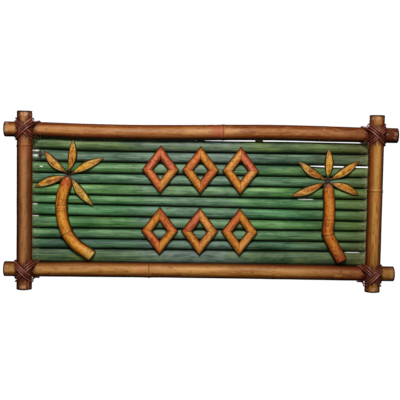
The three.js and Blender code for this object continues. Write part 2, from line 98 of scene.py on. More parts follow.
# Sizes of the slats
SLAT_LENGTH = 0.523
SLAT_WALL = 0.0026
SLAT_RISE = 0.0075
SLAT_GAP = -0.0002
SLAT_RIDGE = 0.0003
LAST_SLAT_TUCK = 0.0012
SLAT_HALF_WIDTH = 0.0087
SLAT_SIDES = 40
SLAT_CUT_SPACING = 0.013
DIAPHRAGM_WIDTH = 0.002
DIAPHRAGM_HOLLOW_SHARE = 0.08
LIGHT_GAP = 0.0008
BOTTOM_TUCK = 0.001
BLOT_REACH = 0.0062
SLAT_TOP_LEFT_SHARES = [
    0, 0.103, 0.189, 0.279, 0.363, 0.455, 0.526, 0.622, 0.726, 0.81, 0.891, 1]
SLAT_TOP_RIGHT_SHARES = [
    0.016, 0.093, 0.188, 0.281, 0.369, 0.459, 0.551, 0.639, 0.717, 0.807, 0.884, 1]
SLAT_LEFT_NODE_SHARES = [
    -0.179, -0.173, -0.187, -0.185, -0.177, -0.171, -0.262, -0.264, -0.26, -0.181, -0.175]
SLAT_RIGHT_NODE_SHARES = [
    0.245, 0.249, 0.243, 0.25, 0.247, 0.245, 0.252, 0.247, 0.243, 0.249, 0.25]
LAST_SLAT = len(SLAT_LEFT_NODE_SHARES) - 1

# The first slat lies up behind its rail, more so at the right, and its lower joint bends up at the
# left. Shares are of the way across, where a change starts and where it is full.
FIRST_SLAT_LIFTS = [0.0015, 0.0029]
FIRST_SLAT_LIFT_SHARES = [0.56, 0.8]
FIRST_JOINT_LIFT = 0.0024
FIRST_JOINT_LIFT_SHARES = [0.03, 0.16]

# The third slat has warped down at its right end, which opens the joint over it
OPEN_JOINT_INDEX = 2
OPEN_JOINT = 0.0021
OPEN_JOINT_SHARES = [0.78, 0.88]

# Shares of the reach of a culm or slat: faces within the first are cut or bare, points within the
# second are of the inner wall
SKIN_REACH = 0.93
INNER_REACH = 0.85

# Sizes of the battens
BATTEN_WIDTH = 0.012
BATTEN_SPACING = 0.091
BATTENS = {"left": -BATTEN_SPACING, "centre": 0, "right": BATTEN_SPACING}
BATTEN_CHAMFER = 0.0012
BATTEN_EASE = 0.0003
BATTEN_OVERHANG = 0.0065
BATTEN_CUTS = 24
REBATE_DEPTH = 0.0025
NAIL_RADIUS = 0.0017
NAIL_HEAD = 0.0004
NAIL_HOLE_RADIUS = 0.0021
NAIL_SINK = 0.0006
NAIL_STAGGER = 0.0021
NAIL_SIDES = 20

# Sizes of the palms
PALM_HEIGHT_SHARE = 0.648
LEAF_WIDTH = 0.0144
LEAF_THICKNESS = 0.0048
LEAF_START = 0.0026
LEAF_STATION_SHARES = [0, 0.14, 0.32, 0.52, 0.74, 0.9, 1]
LEAF_WIDTH_SHARES = [0.09, 0.34, 0.8, 1, 0.78, 0.38, 0.05]
LEAF_RIM_SHARE = 0.36
LEAF_FACE_SHARE = 0.6
LEAF_SHOULDER_SHARE = 0.88
LEAF_COLUMNS = 30
LEAF_ROWS = 20
TRUNK_RADIUS = 0.0096
TRUNK_DEPTH = 0.013
TRUNK_START = 0.0032
TRUNK_POINT = 0.011
TRUNK_TIP = 0.0018
TRUNK_EASE = 0.0006
TRUNK_CUT_SPACING = 0.004
TRUNK_FIRST_CUT = 4
TRUNK_RING = 0.0006
TRUNK_RING_WIDTH = 0.006
TRUNK_SIDES = 48

# Sizes of the lozenges
LOZENGE_WIDTH = 0.058
LOZENGE_HEIGHT = 0.076
LOZENGE_GAP = 0.004
LOZENGES_PER_ROW = 3
ROW_DOWN_SHARES = [0.239, 0.732]
STICK_WIDTH = 0.0142
STICK_DEPTH = 0.009
STICK_EASE = 0.0008
STICK_SIDES = 40
STICK_CUTS = 20

# Places that follow from the sizes
STRAND_PITCH = STRAND_WIDTH + STRAND_GAP
WIND_RADIUS = CULM_RADIUS + SEAT_GAP + STRAND_THICKNESS / 2
STRAND_RADIUS = WIND_RADIUS / math.cos(math.pi / CAD_LOOP_STEPS)
RAIL_STANDOFF = STRAND_RADIUS - CULM_RADIUS + 1.5 * STRAND_THICKNESS + LAYER_GAP + WALL_GAP
BATTEN_THICKNESS = RAIL_STANDOFF + REBATE_DEPTH
RAIL_HEIGHT = RAIL_STANDOFF + CULM_RADIUS
POLE_HEIGHT = RAIL_HEIGHT + 2 * CULM_RADIUS - SADDLE_DEPTH
SLAT_BACK = BATTEN_THICKNESS + SEAT_GAP
TRIM_BACK = SLAT_BACK + SLAT_RISE + SEAT_GAP
LAST_SHIFT = STRAND_PITCH * (FRONT_TURNS / 2 - 0.25)
LASH_REACH = math.sqrt(2) * LAST_SHIFT + STRAND_RADIUS + STRAND_WIDTH / 2
CROSSOVER_X = math.sqrt(2) * LAST_SHIFT + WIND_RADIUS
FIELD_TOP = RAIL_SPACING / 2 - CULM_RADIUS - LIGHT_GAP
FIELD_BOTTOM = -(RAIL_SPACING / 2 - CULM_RADIUS + BOTTOM_TUCK)
NIP_REACH = SLAT_LENGTH / 2 - POLE_SPACING / 2 + LASH_REACH + SEAT_GAP
PALM_HEIGHT = PALM_HEIGHT_SHARE * (FIELD_TOP - FIELD_BOTTOM)
QUARTER_TURN = math.pi / 2
NEAR = 0.0001


def between(low, high, share):
    return low + (high - low) * share


def smooth_rise(value, low, high):
    t = min(max((value - low) / (high - low), 0), 1)
    return t * t * (3 - 2 * t)


def smooth_table(shares, values, at):
    """A smooth curve through a table."""
    last = len(shares) - 1
    index = min(max(i for i in range(len(shares)) if shares[i] <= at), last - 1)
    slopes = []
    for i in (index, index + 1):
        before, after = max(i - 1, 0), min(i + 1, last)
        slopes.append((values[after] - values[before]) / (shares[after] - shares[before]))
    span = shares[index + 1] - shares[index]
    t = (at - shares[index]) / span
    lead = t ** 3 - 2 * t ** 2 + t
    trail = t ** 3 - t ** 2
    level = between(values[index], values[index + 1], 3 * t ** 2 - 2 * t ** 3)
    return level + span * (slopes[0] * lead + slopes[1] * trail)


def down_field(share):
    """Height at a share of the way down the field of slats."""
    return between(FIELD_TOP, FIELD_BOTTOM, share)


# Work at the bench

def take(piece):
    bpy.ops.object.select_all(action="DESELECT")
    piece.select_set(True)
    bpy.context.view_layer.objects.active = piece


def set_out(name, data):
    """Puts a new object with this data in the scene."""
    made = bpy.data.objects.new(name, data)
    bpy.context.scene.collection.objects.link(made)
    return made


def move_piece(piece, place=(0, 0, 0), turn=(0, 0, 0)):
    piece.location = place
    piece.rotation_euler = turn
    take(piece)
    bpy.ops.object.transform_apply()


def new_piece(name):
    """Names the primitive that was just added and puts its place into its mesh."""
    piece = bpy.context.object
    piece.name = piece.data.name = name
    take(piece)
    bpy.ops.object.transform_apply()
    return piece


def rod(name, sides, radius, length, place=(0, 0, 0), turn=(0, QUARTER_TURN, 0), ends="NGON"):
    """A round primitive, along X unless it is turned otherwise."""
    bpy.ops.mesh.primitive_cylinder_add(
        vertices=sides, radius=radius, depth=length, location=place, rotation=turn,
        end_fill_type=ends)
    return new_piece(name)


def block(name, size, place):
    bpy.ops.mesh.primitive_cube_add(size=1, scale=size, location=place)
    return new_piece(name)


def copy_piece(piece, name):
    twin = set_out(name, piece.data.copy())
    twin.data.name = name
    return twin


def remove_piece(piece):
    bpy.data.objects.remove(piece)


def join(pieces):
    """Joins pieces into the first of them."""
    take(pieces[0])
    for piece in pieces[1:]:
        piece.select_set(True)
    bpy.ops.object.join()


def open_edit(piece):
    take(piece)
    bpy.ops.object.mode_set(mode="EDIT")


def close_edit():
    bpy.ops.object.mode_set(mode="OBJECT")


def pick(level, wanted):
    """Selects the vertices, edges or faces of the open piece that wanted accepts."""
    bpy.ops.mesh.select_mode(type=level)
    bpy.ops.mesh.select_all(action="DESELECT")
    mesh = bpy.context.edit_object.data
    shape = bmesh.from_edit_mesh(mesh)
    shape.select_mode = {level}
    for part in {"VERT": shape.verts, "EDGE": shape.edges, "FACE": shape.faces}[level]:
        if wanted(part):
            part.select_set(True)
    shape.select_flush_mode()
    bmesh.update_edit_mesh(mesh, loop_triangles=False, destructive=False)


def pick_all():
    bpy.ops.mesh.select_all(action="SELECT")


def pick_ring(at):
    pick("VERT", lambda vertex: abs(vertex.co.x - at) < NEAR)


def stretch(along, across, up, base=0):
    """Scales what is picked about the bench's origin, or about a base over it."""
    bpy.ops.transform.resize(value=(along, across, up), center_override=(0, 0, base))


def shift(along, across, up=0):
    bpy.ops.transform.translate(value=(along, across, up))


def cut_across(at):
    """Adds a ring of edges across the open piece at a place along X."""
    pick_all()
    bpy.ops.mesh.bisect(plane_co=(at, 0, 0), plane_no=(1, 0, 0))


def cut_evenly(start, end, cuts, first=1):
    for step in range(first, cuts):
        cut_across(between(start, end, step / cuts))


def swell_ring(at, swell):
    pick_ring(at)
    stretch(1, 1 + swell, 1 + swell)


def slice_off(place, outward):
    """Cuts the open piece at a plane, closes the cut and drops what lies outward of it."""
    pick_all()
    bpy.ops.mesh.bisect(plane_co=place, plane_no=outward, use_fill=True, clear_outer=True)


def use_modifier(piece, kind, **settings):
    take(piece)
    modifier = piece.modifiers.new(kind.lower(), kind)
    for key, value in settings.items():
        setattr(modifier, key, value)
    bpy.ops.object.modifier_apply(modifier=modifier.name)


def carve(piece, cutter):
    use_modifier(piece, "BOOLEAN", operation="DIFFERENCE", object=cutter, solver="EXACT")
    remove_piece(cutter)


def ease_edges(piece, width, angle=40, segments=2):
    use_modifier(
        piece, "BEVEL", width=width, segments=segments, limit_method="ANGLE",
        angle_limit=math.radians(angle))


def roughen(piece):
    """Slight hollows of grown cane, from a cloud that reads the piece's own place."""
    cloud = bpy.data.textures.new(piece.name + "_unevenness", "CLOUDS")
    cloud.noise_scale = HOLLOWS_SIZE
    use_modifier(
        piece, "DISPLACE", texture=cloud, strength=HOLLOWS_DEPTH, mid_level=1,
        texture_coords="LOCAL", direction="NORMAL")


def mark_grain(piece):
    """Stores the place of each point on the bench, before any bend, for the finishes."""
    grain = piece.data.attributes.new("grain", "FLOAT_VECTOR", "POINT")
    grain.data.foreach_set("vector", [c for vertex in piece.data.vertices for c in vertex.co])


def route(points):
    """A smooth flat curve through points on the bench."""
    data = bpy.data.curves.new("route", "CURVE")
    data.dimensions = "2D"
    data.resolution_u = ROUTE_RESOLUTION
    spline = data.splines.new("BEZIER")
    spline.bezier_points.add(len(points) - 1)
    for knot, point in zip(spline.bezier_points, points):
        knot.co = (*point, 0)
        knot.handle_left_type = knot.handle_right_type = "AUTO"
    curve = set_out("route", data)
    bpy.context.view_layer.update()
    return curve


def route_length(points):
    curve = route(points)
    length = curve.data.splines[0].calc_length()
    remove_piece(curve)
    return length


def bend_along(piece, points):
    """Bends a piece that lies along X from 0 so that its axis follows a route."""
    curve = route(points)
    use_modifier(piece, "CURVE", object=curve, deform_axis="POS_X")
    remove_piece(curve)


def hand_over(piece, node, smooth_under):
    """Shades a piece, hangs it on the wall and puts it in its node's place. Its height on the bench
    becomes its distance from the wall."""
    take(piece)
    bpy.ops.object.shade_smooth_by_angle(angle=math.radians(smooth_under))
    move_piece(piece, turn=(QUARTER_TURN, 0, 0))
    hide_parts(node)
    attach(piece, "root")


# Finishes

def tone(code):
    """A colour from its sRGB code, as linear red, green, blue and alpha."""
    channels = [int(code[i:i + 2], 16) / 255 for i in (0, 2, 4)]
    linear = [c / 12.92 if c <= 0.04045 else ((c + 0.055) / 1.055) ** 2.4 for c in channels]
    return (*linear, 1)


class Wire:
    """A socket that sums can be written with."""

    def __init__(self, finish, socket):
        self.finish = finish
        self.socket = socket

    def _math(self, operation, *terms):
        return self.finish.node("Math", {"operation": operation}, dict(enumerate(terms)))

    def __add__(self, other):
        return self._math("ADD", self, other)

    def __sub__(self, other):
        return self._math("SUBTRACT", self, other)

    def __rsub__(self, other):
        return self._math("SUBTRACT", other, self)

    def __mul__(self, other):
        return self._math("MULTIPLY", self, other)

    def __abs__(self):
        return self._math("ABSOLUTE", self)

    __radd__ = __add__
    __rmul__ = __mul__


# How far each seed moves the patterns, in cells, and how rough every noise is
SEED_STEPS = (7.31, 3.17)
NOISE_ROUGHNESS = 0.6


class Finish:
    """One material, coloured coat by coat, with a few patterns made of nodes. Colours are codes."""

    def __init__(self, name, seed=0, **constants):
        self.material = bpy.data.materials.new(name)
        self.material.use_nodes = True
        self.nodes = self.material.node_tree.nodes
        self.links = self.material.node_tree.links
        self.seed = seed
        self.colour = None
        self.paint(**constants)

    def node(self, kind, settings=None, sockets=None, output=0):
        made = self.nodes.new("ShaderNode" + kind)
        for key, value in (settings or {}).items():
            if key == "stops":
                self.set_stops(made.color_ramp, value)
            else:
                setattr(made, key, value)
        for key, value in (sockets or {}).items():
            self.feed(made.inputs[key], value)
        return Wire(self, made.outputs[output])

    def set_stops(self, ramp, stops):
        while len(ramp.elements) < len(stops):
            ramp.elements.new(1)
        for element, (place, code) in zip(ramp.elements, stops):
            element.position = place
            element.color = tone(code)

    def feed(self, socket, value):
        if isinstance(value, Wire):
            self.links.new(value.socket, socket)
        else:
            socket.default_value = tone(value) if isinstance(value, str) else value

    def paint(self, **values):
        """Sets or wires up sockets of the shader."""
        inputs = self.nodes["Principled BSDF"].inputs
        for key, value in values.items():
            self.feed(inputs[key.replace("_", " ").title().replace("Ior", "IOR")], value)

    def bench_place(self):
        return self.node("Attribute", {"attribute_name": "grain"}, output=1)

    def place(self, axis):
        """Metres along the piece or across it: axis 0 or 1."""
        return self.node("SeparateXYZ", {}, {"Vector": self.bench_place()}, output=axis)

    def grain(self, along, across, shift=0):
        """The stored bench place, stretched: along and across are cells per metre."""
        return self.node("Mapping", {}, {
            "Vector": self.bench_place(),
            "Location": (*(self.seed * step + shift for step in SEED_STEPS), shift),
            "Scale": (along, across, across)})

    def noise(self, along, across, shift=0, detail=3):
        return self.node("TexNoise", {}, {
            "Vector": self.grain(along, across, shift), "Scale": 1, "Detail": detail,
            "Roughness": NOISE_ROUGHNESS})

    def step(self, value, low, high, to_low=0, to_high=1):
        return self.node("MapRange", {"interpolation_type": "SMOOTHSTEP"}, {
            "Value": value, "From Min": low, "From Max": high, "To Min": to_low, "To Max": to_high})

    def undercoat(self, level, codes, places=(0.3, 0.5, 0.7)):
        """Starts the colour as a ramp of tones over a level."""
        self.colour = self.node("ValToRGB", {"stops": list(zip(places, codes))}, {"Fac": level})

    def stain(self, mask, colour, amount=1):
        """Lays a colour over what is there, by an amount where the mask is 1."""
        self.colour = self.node("Mix", {"data_type": "RGBA"}, {
            0: mask * amount, 6: self.colour, 7: colour}, output=2)

    def tint(self, level, low, high, colour, amount=1):
        """Lays a colour that fades in as a level rises, or falls, from low to high."""
        self.stain(self.step(level, low, high), colour, amount)

    def done(self, relief, distance, strength, **others):
        """The material, once its colour and its relief are wired up."""
        bump = self.node("Bump", {}, {"Height": relief, "Distance": distance, "Strength": strength})
        self.paint(base_color=self.colour, normal=bump, **others)
        return self.material


# What each culm looks like. tones are its dark, middle and light one. A highlight is painted
# along its front, highlight_at of its radius off its middle, in its highlight_and_pale tone,
# which also colours pale flecks and a pale ring by its node. Shade is painted over its sides,
# least at lit_middle_at of its radius off its middle, and blush mottles it. A rail grows redder
# to the right, and has an amount of another tone past the pole.
# flush is how red it is beside its node.
CULM_LOOKS = {
    "left_pole": {
        "seed": 1, "tones": ("4c240e", "6e3c18", "8a562c"), "highlight_and_pale": "b47a46", "highlight_at": -0.04,
        "lit_middle_at": -0.16, "blush": "6e3016"},
    "right_pole": {
        "seed": 2, "tones": ("62300c", "8e5218", "b4762e"), "highlight_and_pale": "d0984c", "highlight_at": 0,
        "lit_middle_at": 0.08, "blush": "8a3a16"},
    "top_rail": {
        "seed": 3, "tones": ("602a0a", "904e1a", "b67432"), "highlight_and_pale": "d09256", "highlight_at": 0.06,
        "lit_middle_at": 0.14, "blush": "943e1c", "redder": 0.6, "past_pole": (0.75, "4e1c14"),
        "flush": 0.9},
    "bottom_rail": {
        "seed": 4, "tones": ("66320c", "985c1a", "ba7e30"), "highlight_and_pale": "dea058", "highlight_at": 0.16,
        "lit_middle_at": 0.04, "blush": "8e4818", "redder": 0.8, "past_pole": (0.6, "b08038")},
}


def culm_skin(name, length, node_at, lashed_at, slide, seed, tones, highlight_and_pale, highlight_at, lit_middle_at,
              blush, redder=0, past_pole=None, flush=0.25):
    """Scorched bamboo: long fine streaks, mottled scorching and a node, with a painted highlight
    along its front, painted shade at its sides and painted shade round its lashings, which lie
    lashed_at from the sign's middle, which is slide off its own."""
    finish = Finish(name, seed, specular_ior_level=0.2)
    along, across = finish.place(0), finish.place(1) * (1 / CULM_RADIUS)
    streak = finish.noise(14, 420)
    broad = finish.noise(9, 60, 4, detail=2)
    speckle = finish.noise(110, 300, 51, detail=5)
    finish.undercoat(streak * 0.9 + broad * 0.7 - 0.3, tones)
    uneven = finish.step(finish.noise(11, 60, 31, detail=4), 0.4, 0.62, 0.3, 1)
    # Painted highlight: a paler band along the culm's front, in the highlight_and_pale tone.
    front = finish.step(abs(across - highlight_at + (streak - 0.5) * 0.3), 0.72, 0.04)
    finish.stain(front * uneven, highlight_and_pale, 0.9)
    finish.tint(finish.noise(24, 70, 15, detail=4), 0.6, 0.72, blush, 0.7)
    if past_pole:
        amount, other = past_pole
        rightward = finish.step(along + (broad - 0.5) * 0.1, 0.05, length / 2)
        finish.stain(rightward, "702a12", redder)
        finish.tint(along, length / 2 - 0.03, length / 2 - 0.022, other, amount)
    finish.tint(finish.noise(30, 130, 21, detail=5), 0.58, 0.76, "4a200c", 0.6)
    finish.tint(speckle, 0.56, 0.68, highlight_and_pale, 0.5)
    finish.tint(speckle, 0.44, 0.32, "4a1c0c", 0.5)
    from_node = along - node_at
    beside = finish.step(abs(from_node + 0.008) + (streak - 0.5) * 0.008, 0.012, 0.008)
    finish.stain(beside * finish.step(speckle, 0.4, 0.56, 0.5, 1), "b2583a", flush)
    finish.tint(abs(from_node), 0.0009, 0.0002, "5a2610", 0.35)
    ring = finish.step(abs(abs(from_node) - 0.0024), 0.0011, 0.0004)
    finish.stain(ring * finish.step(streak, 0.35, 0.55), highlight_and_pale, 0.6)
    to_end = length / 2 - abs(along)
    worn = finish.step(abs(to_end - 0.0055), 0.0036, 0.0012)
    finish.stain(worn * finish.step(speckle, 0.46, 0.6), "dca07c", 0.7)
    # Painted shade round the lashings: the culm is darker where they wrap it.
    off_lashing = abs(abs(along + slide) - lashed_at) + (speckle - 0.5) * 0.02
    lashing_shade = finish.step(off_lashing, 0.019, 0.011) * finish.step(speckle, 0.66, 0.46, 0.35, 1)
    finish.stain(lashing_shade, "4a1a12", 0.85)
    # Painted shade: darker towards the culm's sides, away from lit_middle_at, near black at its
    # edges.
    off_front = abs(across - lit_middle_at) + (broad - 0.5) * 0.12 + (speckle - 0.5) * 0.16
    finish.tint(off_front, 0.3, 0.8, "66220e", 0.6)
    finish.tint(off_front, 0.66, 0.98, "1c0904", 0.95)
    finish.tint(to_end + (streak - 0.5) * 0.002, 0.0032, 0.0017, "1a0904", 0.92)
    relief = finish.noise(60, 2600, 9, detail=2) * 0.35 + streak * 0.4
    return finish.done(relief, 0.00018, 0.6, roughness=finish.step(streak, 0.35, 0.7, 0.4, 0.55))


def cut_end(name, seed, light="c79a62", dark="8a5a30"):
    """The sawn end of cane: pale wood with the dark dots of its fibres."""
    finish = Finish(name, seed, roughness=0.75)
    cells = finish.node("TexVoronoi", {"feature": "F1"}, {
        "Vector": finish.grain(1400, 1400), "Scale": 1})
    dots = finish.step(cells, 0.42, 0.2)
    finish.colour = light
    finish.tint(finish.noise(300, 300, 5), 0.35, 0.7, dark)
    finish.stain(dots, "4e2c14", 0.65)
    return finish.done(dots, 0.0002, 0.5)


def slat_skin(name, seed, tones, wear_and_sheen, yellow, nodes_at, chips, blots):
    """Green stain on split bamboo: lengthwise streaks, grey-blue wear that is partly a painted
    reflection of its wax, a paler grey middle, yellowed patches and nodes. It is dark in the
    joints, part stain and part painted shade, with painted shade further down its lower side. The
    stain is off where chips give a place along the slat, a reach, a place across it and a reach.
    blots are dark spots, a place along it and across it; those at the palms' crowns are painted
    shade."""
    finish = Finish(name, seed, specular_ior_level=0.3)
    along, across = finish.place(0), finish.place(1)
    streak = finish.noise(10, 700, detail=4)
    broad = finish.noise(16, 90, 6, detail=3)
    mottle = finish.noise(60, 330, 33, detail=5)
    finish.undercoat(streak * 0.8 + broad * 0.7 - 0.25, tones, (0.32, 0.5, 0.68))
    # Grey-blue wear, partly painted reflection: pale streaks of sheen on the wax.
    worn = finish.step(finish.noise(22, 480, 12, detail=5), 0.66 - wear_and_sheen, 0.8 - wear_and_sheen)
    finish.stain(worn, "a3b8a0", 0.65)
    finish.tint(finish.noise(9, 50, 24, detail=2), 0.54, 0.7, "2c4650", 0.45)
    finish.tint(mottle, 0.57, 0.7, tones[-1], 0.5)
    finish.tint(mottle, 0.45, 0.33, "12301a", 0.6)
    # Paler and greyer towards the sign's middle.
    grey_middle = finish.step(abs(along + 0.015) + (broad - 0.5) * 0.08, 0.11, 0.05)
    finish.stain(grey_middle * finish.step(mottle, 0.42, 0.62, 0.12, 0.45), "8e9894")
    mellow = finish.step(finish.noise(12, 60, 18, detail=2), 0.62 - yellow, 0.8 - yellow)
    finish.stain(mellow, "7f8f3c", 0.55)
    finish.tint(along + (mellow - 0.5) * 0.06, 0.1, 0.25, "5e540c", 0.52)
    for at in nodes_at:
        halo = finish.step(abs(along - at), 0.014, 0.001) * finish.step(worn, 0.2, 0.5)
        finish.stain(halo, "6f9a4a", 0.45)
    # Painted shade: dark in the joints, part stain and part shade, reaching further down the lower
    # side of each slat, as under light from above.
    up = across * (1 / SLAT_HALF_WIDTH) + (broad - 0.5) * 0.12
    finish.stain(finish.step(up, 0.74, 0.98) + finish.step(up, -0.36, -0.92), "050c04", 0.97)
    # Dark spots; those at the palms' crowns are painted shade where the leaves meet.
    for at, up_at in blots:
        away = abs(along - at) + abs(across - up_at) * 0.7 + (broad - 0.5) * 0.004
        finish.tint(away, BLOT_REACH, BLOT_REACH * 0.5, "1c0c08", 0.95)
    flecks = finish.step(finish.noise(160, 900, 27, detail=3), 0.52, 0.6)
    to_end = SLAT_LENGTH / 2 - abs(along)
    finish.stain(flecks * finish.step(to_end, 0.016, 0.004), "b4bd98", 0.5)
    finish.tint(to_end, 0.0042, 0.0034, "8c8a5c", 0.6)
    for at, reach, up_at, up_reach in chips:
        bare = finish.step(abs(along - at) + (flecks - 0.5) * 0.0016, reach, reach * 0.6)
        level = finish.step(abs(across - up_at), up_reach, up_reach * 0.5)
        finish.stain(bare * level, "eef0e2", 0.9)
    return finish.done(streak, 0.00022, 0.7, roughness=finish.step(streak, 0.35, 0.7, 0.45, 0.62))


def split_inside(name, seed):
    """The bare inner wall of split bamboo: straw yellow with pithy fibres."""
    finish = Finish(name, seed, roughness=0.72)
    streak = finish.noise(30, 1500, detail=4)
    level = streak * 0.6 + finish.noise(40, 160, 6) * 0.4
    finish.undercoat(level, ("8b6b3c", "bb9a62", "d8bf8b"))
    return finish.done(streak, 0.0003, 0.7)


def sawn_board(name, seed):
    """Sawn softwood of a batten: straight grain and saw marks across it."""
    finish = Finish(name, seed, roughness=0.8)
    rings = finish.noise(8, 500)
    saw = finish.noise(900, 20, 8, detail=1)
    finish.undercoat(rings, ("a87f4c", "c9a26b", "dcbc88"))
    finish.tint(saw, 0.5, 0.75, "8d6a3f", 0.25)
    return finish.done(rings * 0.5 + saw * 0.6, 0.0003, 0.6)


def nail_steel(name, seed):
    """Dull steel of wire nails, with spots of rust."""
    finish = Finish(name, seed, metallic=0.85)
    spots = finish.noise(900, 900)
    finish.undercoat(spots, ("8c867c", "6a6259", "6e3f22"), (0.4, 0.54, 0.64))
    return finish.done(spots, 0.0001, 0.5, roughness=finish.step(spots, 0.4, 0.65, 0.42, 0.75))


def dark_strand(name, seed):
    """Split cane of a lashing in a dark stain, with its fibres along the strand and painted shade
    along its edges.
    """
    finish = Finish(name, seed, coat_weight=0.15, coat_roughness=0.3, specular_ior_level=0.45)
    fibre = finish.noise(40, 1600)
    level = fibre * 0.6 + finish.noise(60, 120, 5) * 0.7 - 0.15
    finish.undercoat(level, ("34100c", "7c3422", "c47a5c"))
    # Painted shade: darker towards the strand's edges.
    side = abs(finish.place(1)) * (2 / STRAND_WIDTH)
    finish.tint(side, 0.6, 0.95, "140503", 0.95)
    return finish.done(fibre, 0.00025, 0.8, roughness=finish.step(fibre, 0.3, 0.7, 0.38, 0.58))


def cane_skin(name, seed, half_width, looks, rings_at=(), ends=()):
    """Half round cane: warm streaks, reddish scorching, fine cracks across, painted shade at its
    sides and a painted highlight along its front. ends give a place along it where another tone
    starts, where it is full, and the tone."""
    tones, highlight_and_pale, blush, blush_amount = looks
    finish = Finish(name, seed, specular_ior_level=0.25)
    along, across = finish.place(0), finish.place(1) * (1 / half_width)
    streak = finish.noise(26, 620, detail=4)
    broad = finish.noise(40, 110, 6)
    speckle = finish.noise(230, 330, 61, detail=2)
    crack = finish.step(finish.noise(520, 40, 22), 0.56, 0.68)
    finish.undercoat(streak * 0.6 + broad * 0.6 - 0.1, tones, (0.33, 0.5, 0.67))
    # Painted highlight: a paler band along the cane's front, in the highlight_and_pale tone.
    front = finish.step(abs(across - 0.05 + (streak - 0.5) * 0.4), 0.7, 0.04)
    finish.stain(front * finish.step(broad, 0.35, 0.6, 0.4, 1), highlight_and_pale, 0.9)
    patch = finish.noise(55, 130, 12, detail=4)
    finish.tint(patch, 0.6 - blush_amount, 0.72 - blush_amount, blush, 0.75)
    for first, last, end_tone in ends:
        finish.tint(along + (broad - 0.5) * 0.012, first, last, end_tone, 0.75)
    finish.stain(crack, "6e2c0c", 0.5)
    finish.tint(speckle, 0.53, 0.68, highlight_and_pale, 0.6)
    finish.tint(speckle, 0.47, 0.3, "8a300c", 0.7)
    for at in rings_at:
        finish.tint(abs(along - at), 0.0008, 0.0002, "74350f", 0.3)
    # Painted shade: darker towards the cane's sides, near black at its edges.
    side = abs(across) + (broad - 0.5) * 0.2 + (speckle - 0.5) * 0.16
    finish.tint(side, 0.6, 0.94, "220c03", 0.94)
    return finish.done(
        streak * 0.5 - crack * 0.5, 0.00022, 0.6,
        roughness=finish.step(streak, 0.35, 0.7, 0.36, 0.52))


def leaf_skin(name, seed, tones, scorch, low_side, pared_amount):
    """A leaf cut from split cane: scorched skin along its face, yellowed on its upper side, and a
    pale rim where it is pared on its lower side, which is towards low_side of its bench's Y. Its
    outer edge is darkened with painted shade."""
    finish = Finish(name, seed, specular_ior_level=0.25)
    streak = finish.noise(70, 900, detail=4)
    broad = finish.noise(70, 160, 6)
    speckle = finish.noise(230, 380, 41, detail=2)
    finish.undercoat(streak * 0.5 + broad * 0.8 - 0.15, tones, (0.34, 0.5, 0.66))
    burnt = finish.noise(90, 240, 12, detail=4)
    finish.tint(burnt, 0.55 - scorch, 0.61 - scorch, "7a3410", 0.8)
    sheet = finish.node("UVMap", {"uv_map": "UVMap"})
    along = finish.node("SeparateXYZ", {}, {"Vector": sheet})
    outward = (finish.node("SeparateXYZ", {}, {"Vector": sheet}, output=1) - 0.5) * low_side
    down = outward + (broad - 0.5) * 0.1
    face_edge = LEAF_FACE_SHARE / 2
    yellowed = finish.step(down, -0.08, -0.28) * finish.step(streak, 0.35, 0.6, 0.4, 1)
    finish.stain(yellowed, "a8921c", 0.6)
    pared = finish.step(down, face_edge - 0.1, face_edge) * finish.step(streak, 0.3, 0.55, 0.5, 1)
    finish.stain(pared, PALE_RIM, pared_amount)
    finish.tint(abs(down - face_edge + 0.12), 0.04, 0, "6b2c0c", 0.6)
    finish.tint(speckle, 0.53, 0.68, PALE_RIM, 0.75)
    finish.tint(speckle, 0.46, 0.32, "7c2e0c", 0.7)
    uneven = along + (broad - 0.5) * 0.3
    finish.tint(uneven, 0.3, 0.06, "431511", 0.9)
    finish.tint(uneven, 0.72, 0.97, "543618", 0.75)
    # Painted shade: near black along the leaf's outer edge.
    finish.tint(abs(outward) + (speckle - 0.5) * 0.1, 0.31, 0.41, "180a03", 0.95)
    return finish.done(streak, 0.0002, 0.6, roughness=finish.step(streak, 0.35, 0.7, 0.36, 0.55))


def set_finishes(piece, main, other=None, is_other=None):
    piece.data.materials.clear()
    piece.data.materials.append(main)
    if other:
        piece.data.materials.append(other)
        for face in piece.data.polygons:
            face.material_index = int(is_other(face))


# Poles and rails

